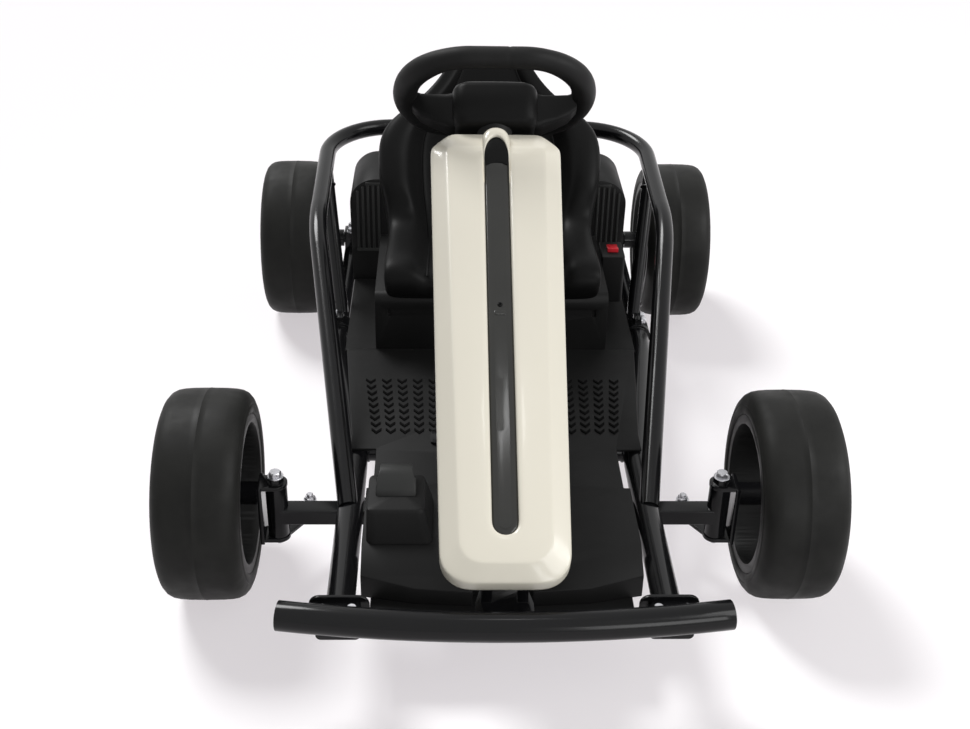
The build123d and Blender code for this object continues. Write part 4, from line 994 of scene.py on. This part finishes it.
class KART_OT_covers(Operator):
    """Side covers with cooling slots and upright ribs between them"""

    bl_idname = "kart.covers"
    bl_label = "Covers"

    def execute(self, context):
        trays = [bar("tray", (-150, 150), (-186, -110), (72, 75.5))]
        for name, side in SIDES.items():
            loops = []
            for shrink, back in ((16, 575), (1.4, 575), (0.4, 575.6), (0, 577), (0, 690), (2, 694), (16, 694)):
                corners = [(150, 117.5), (211, 117.5), (213, 291), (150, 291)]
                outline = rounded_outline(corners, [3, 4, 40, 3], 96)
                hub = Vector((182, 204))
                loops.append([at(side * q.x, back, q.y) for q in (p + (hub - p).normalized() * shrink for p in outline)])
            for end, back in ((0, 575), (len(loops), 694)):
                loops.insert(end, [at(side * 182, back, 204)] * 96)
            cover = skin(f"side_cover_{name}", loops)
            smooth(cover, 40)
            settle(cover, "chassis", "grained_plastic", [f"engine_cover_{name}"])
            trays.append(bar("tray", (side * 187 - 22, side * 187 + 22), (350, 630), (118.4, 121.4)))
            bars = []
            for x, high in ((168.6, 284), (176.6, 284), (184.6, 283), (192.6, 279), (200.6, 272)):
                bars.append(bar("rib", (side * x - 1.9, side * x + 1.9), (572.2, 576), (176, high)))
            bars.append(bar("rib", (side * 185 - 18, side * 185 + 18), (571.6, 576), (172, 176)))
            bars.append(bar("rib", (side * 176 - 12, side * 176 + 12), (571.6, 576), (282, 286)))
            ribs = joined(bars, f"cover_ribs_{name}")
            apply_modifier(ribs, "BEVEL", width=0.9 * MM, segments=2, limit_method="ANGLE")
            smooth(ribs)
            settle(ribs, "chassis", "grey_plastic")
        plates = joined(trays, "closing_plates")
        apply_modifier(plates, "BEVEL", width=1.2 * MM, segments=2, limit_method="ANGLE")
        smooth(plates)
        settle(plates, "chassis", "grained_plastic")
        return {"FINISHED"}


class KART_OT_pedal(Operator):
    """The accelerator's tapered base and its foot pad"""

    bl_idname = "kart.pedal"
    bl_label = "Pedal"

    def execute(self, context):
        loops = []
        for up, left, right, front, rear in (
            (125, -156, -80, -94.5, -4), (128, -156, -80, -94, -4), (158, -155.4, -88, -83, -10),
            (161.6, -154.6, -89, -81.2, -11), (163, -152, -91.6, -78.6, -13.6), (163, -130, -112, -50, -40),
        ):
            corners = [(left, front), (left, rear), (right, rear), (right, front)]
            bend = min(7, (right - left) / 3, (rear - front) / 3)
            loops.append([at(p.x, p.y, up) for p in rounded_outline(corners, [bend] * 4, 80)])
        for end, up in ((0, 125), (len(loops), 163)):
            loops.insert(end, [at(-118, -46, up)] * 80)
        base = skin("pedal_block", loops)
        smooth(base, 40)
        settle(base, "chassis", "grained_plastic", ["pedal_base"])
        profile = [
            # back, up, half width
            (-54.5, 163, 23.4), (-53.5, 166.5, 23.2), (-51, 169.5, 22.8), (-34, 179, 20.6), (-29, 181.6, 19.8),
            (-24, 182.4, 19.2), (-16, 181.5, 19), (-12, 179, 19), (-11, 166, 19), (-13, 163, 19),
        ]
        middle_of = (-34, 174)
        loops = []
        for share, shrink in ((-1, 1), (-1, 0.5), (-1, 0.12), (-0.97, 0.03), (-0.92, 0), (0.92, 0), (0.97, 0.03), (1, 0.12), (1, 0.5), (1, 1)):
            loop = []
            for back, z, half in profile:
                loop.append(at(
                    -122.5 + share * half, back + (middle_of[0] - back) * shrink, z + (middle_of[1] - z) * shrink,
                ))
            loops.append(loop)
        pad = skin("foot_pad", loops)
        smooth(pad, 45)
        settle(pad, "chassis", "grey_plastic", ["accelerator_pedal"])
        return {"FINISHED"}


# Stage


class KART_OT_stage(Operator):
    """The camera, the lights and the pale floor"""

    bl_idname = "kart.stage"
    bl_label = "Stage"

    def execute(self, context):
        settings = context.scene.kart_stage
        scene = context.scene
        scene.view_settings.view_transform = "Standard"
        camera_data = bpy.data.cameras.new("camera")
        camera_data.lens = settings.lens
        camera_data.sensor_width = 36
        camera = bpy.data.objects.new("camera", camera_data)
        scene.collection.objects.link(camera)
        right = Vector((0.99948546, -0.02517675, 0.01987338))
        up = Vector((-0.0041082, 0.51400155, 0.85777942))
        camera.matrix_world = Matrix.Translation((-0.0678, -1.5652, 1.0672)) @ (
            Matrix((right, up, right.cross(up))).transposed().to_4x4()
        )
        scene.camera = camera
        lights = [
            # name, kind, direction from which it shines, distance, size, power, whether it casts shadows
            ("key", "SUN", (-0.5, 0.62, 0.95), 3.0, 0.4, settings.key_power, True),
            ("top", "SUN", (0.62, -0.4, 0.72), 3.0, 0.6, settings.key_power * 0.56, False),
            ("side_left", "AREA", (2.1, -0.5, 1.3), 2.6, 0.9, settings.fill_power, False),
            ("front", "AREA", (0.9, -2.4, 0.9), 2.6, 0.8, settings.fill_power * 0.5, False),
            ("glint", "AREA", (0.106, -0.166, 2.0), 2.0, 0.14, settings.fill_power * 0.03, False),
        ]
        for name, kind, toward, distance, size, power, casts in lights:
            lamp = bpy.data.lights.new(name, kind)
            if kind == "SUN":
                lamp.angle = size
            else:
                lamp.size = size
            lamp.energy = power
            lamp.use_shadow = casts
            holder = bpy.data.objects.new(name, lamp)
            holder.location = Vector(toward).normalized() * distance
            holder.rotation_euler = (-holder.location).to_track_quat("-Z", "Y").to_euler()
            scene.collection.objects.link(holder)
        world = bpy.data.worlds.new("studio")
        scene.world = world
        world.use_nodes = True
        tree = world.node_tree
        back = tree.nodes["Background"]
        span = node_of(tree, "ShaderNodeMapRange")
        span.inputs["To Min"].default_value = settings.sky
        span.inputs["To Max"].default_value = 1.0
        tree.links.new(seen_directly(tree), span.inputs["Value"])
        tree.links.new(span.outputs["Result"], back.inputs["Strength"])
        back.inputs["Color"].default_value = (1, 1, 1, 1)
        deselect()
        bpy.ops.mesh.primitive_plane_add(size=12)
        floor = context.object
        floor.name = "studio_floor"
        material = bpy.data.materials.new("floor_paper")
        material.use_nodes = True
        tree = material.node_tree
        shader = tree.nodes["Principled BSDF"]
        shader.inputs["Base Color"].default_value = (0.68, 0.68, 0.68, 1)
        shader.inputs["Roughness"].default_value = 0.9
        shader.inputs["Emission Color"].default_value = (0.295, 0.265, 0.283, 1)
        span = node_of(tree, "ShaderNodeMapRange")
        span.inputs["To Max"].default_value = 1.0
        tree.links.new(seen_directly(tree), span.inputs["Value"])
        tree.links.new(span.outputs["Result"], shader.inputs["Emission Strength"])
        floor.data.materials.append(material)
        return {"FINISHED"}


class KART_PT_panel(Panel):
    """Lists the kart's pieces in the sidebar"""

    bl_label = "Kart"
    bl_idname = "KART_PT_panel"
    bl_space_type = "VIEW_3D"
    bl_region_type = "UI"
    bl_category = "Kart"

    def draw(self, context):
        for operator in OPERATORS:
            self.layout.operator(operator.bl_idname)


OPERATORS = (
    KART_OT_stage, KART_OT_tyres, KART_OT_rims, KART_OT_frame, KART_OT_fasteners, KART_OT_cowl, KART_OT_strip,
    KART_OT_steering, KART_OT_seat, KART_OT_body, KART_OT_covers, KART_OT_pedal,
)
CLASSES = (KartColours, KartSizes, StageSettings, *OPERATORS, KART_PT_panel)


def register():
    for item in CLASSES:
        bpy.utils.register_class(item)
    bpy.types.Scene.kart_colours = PointerProperty(type=KartColours)
    bpy.types.Scene.kart_sizes = PointerProperty(type=KartSizes)
    bpy.types.Scene.kart_stage = PointerProperty(type=StageSettings)


def unregister():
    del bpy.types.Scene.kart_stage
    del bpy.types.Scene.kart_sizes
    del bpy.types.Scene.kart_colours
    for item in reversed(CLASSES):
        bpy.utils.unregister_class(item)


def main():
    register()
    for name in SURFACES:
        make_finish(name, bpy.context.scene.kart_colours)
    bpy.ops.kart.stage()
    bpy.ops.kart.tyres()
    bpy.ops.kart.rims()
    bpy.ops.kart.frame()
    bpy.ops.kart.fasteners()
    bpy.ops.kart.cowl()
    bpy.ops.kart.strip()
    bpy.ops.kart.steering()
    bpy.ops.kart.seat()
    bpy.ops.kart.body()
    bpy.ops.kart.covers()
    bpy.ops.kart.pedal()


if __name__ == "__main__":
    main()
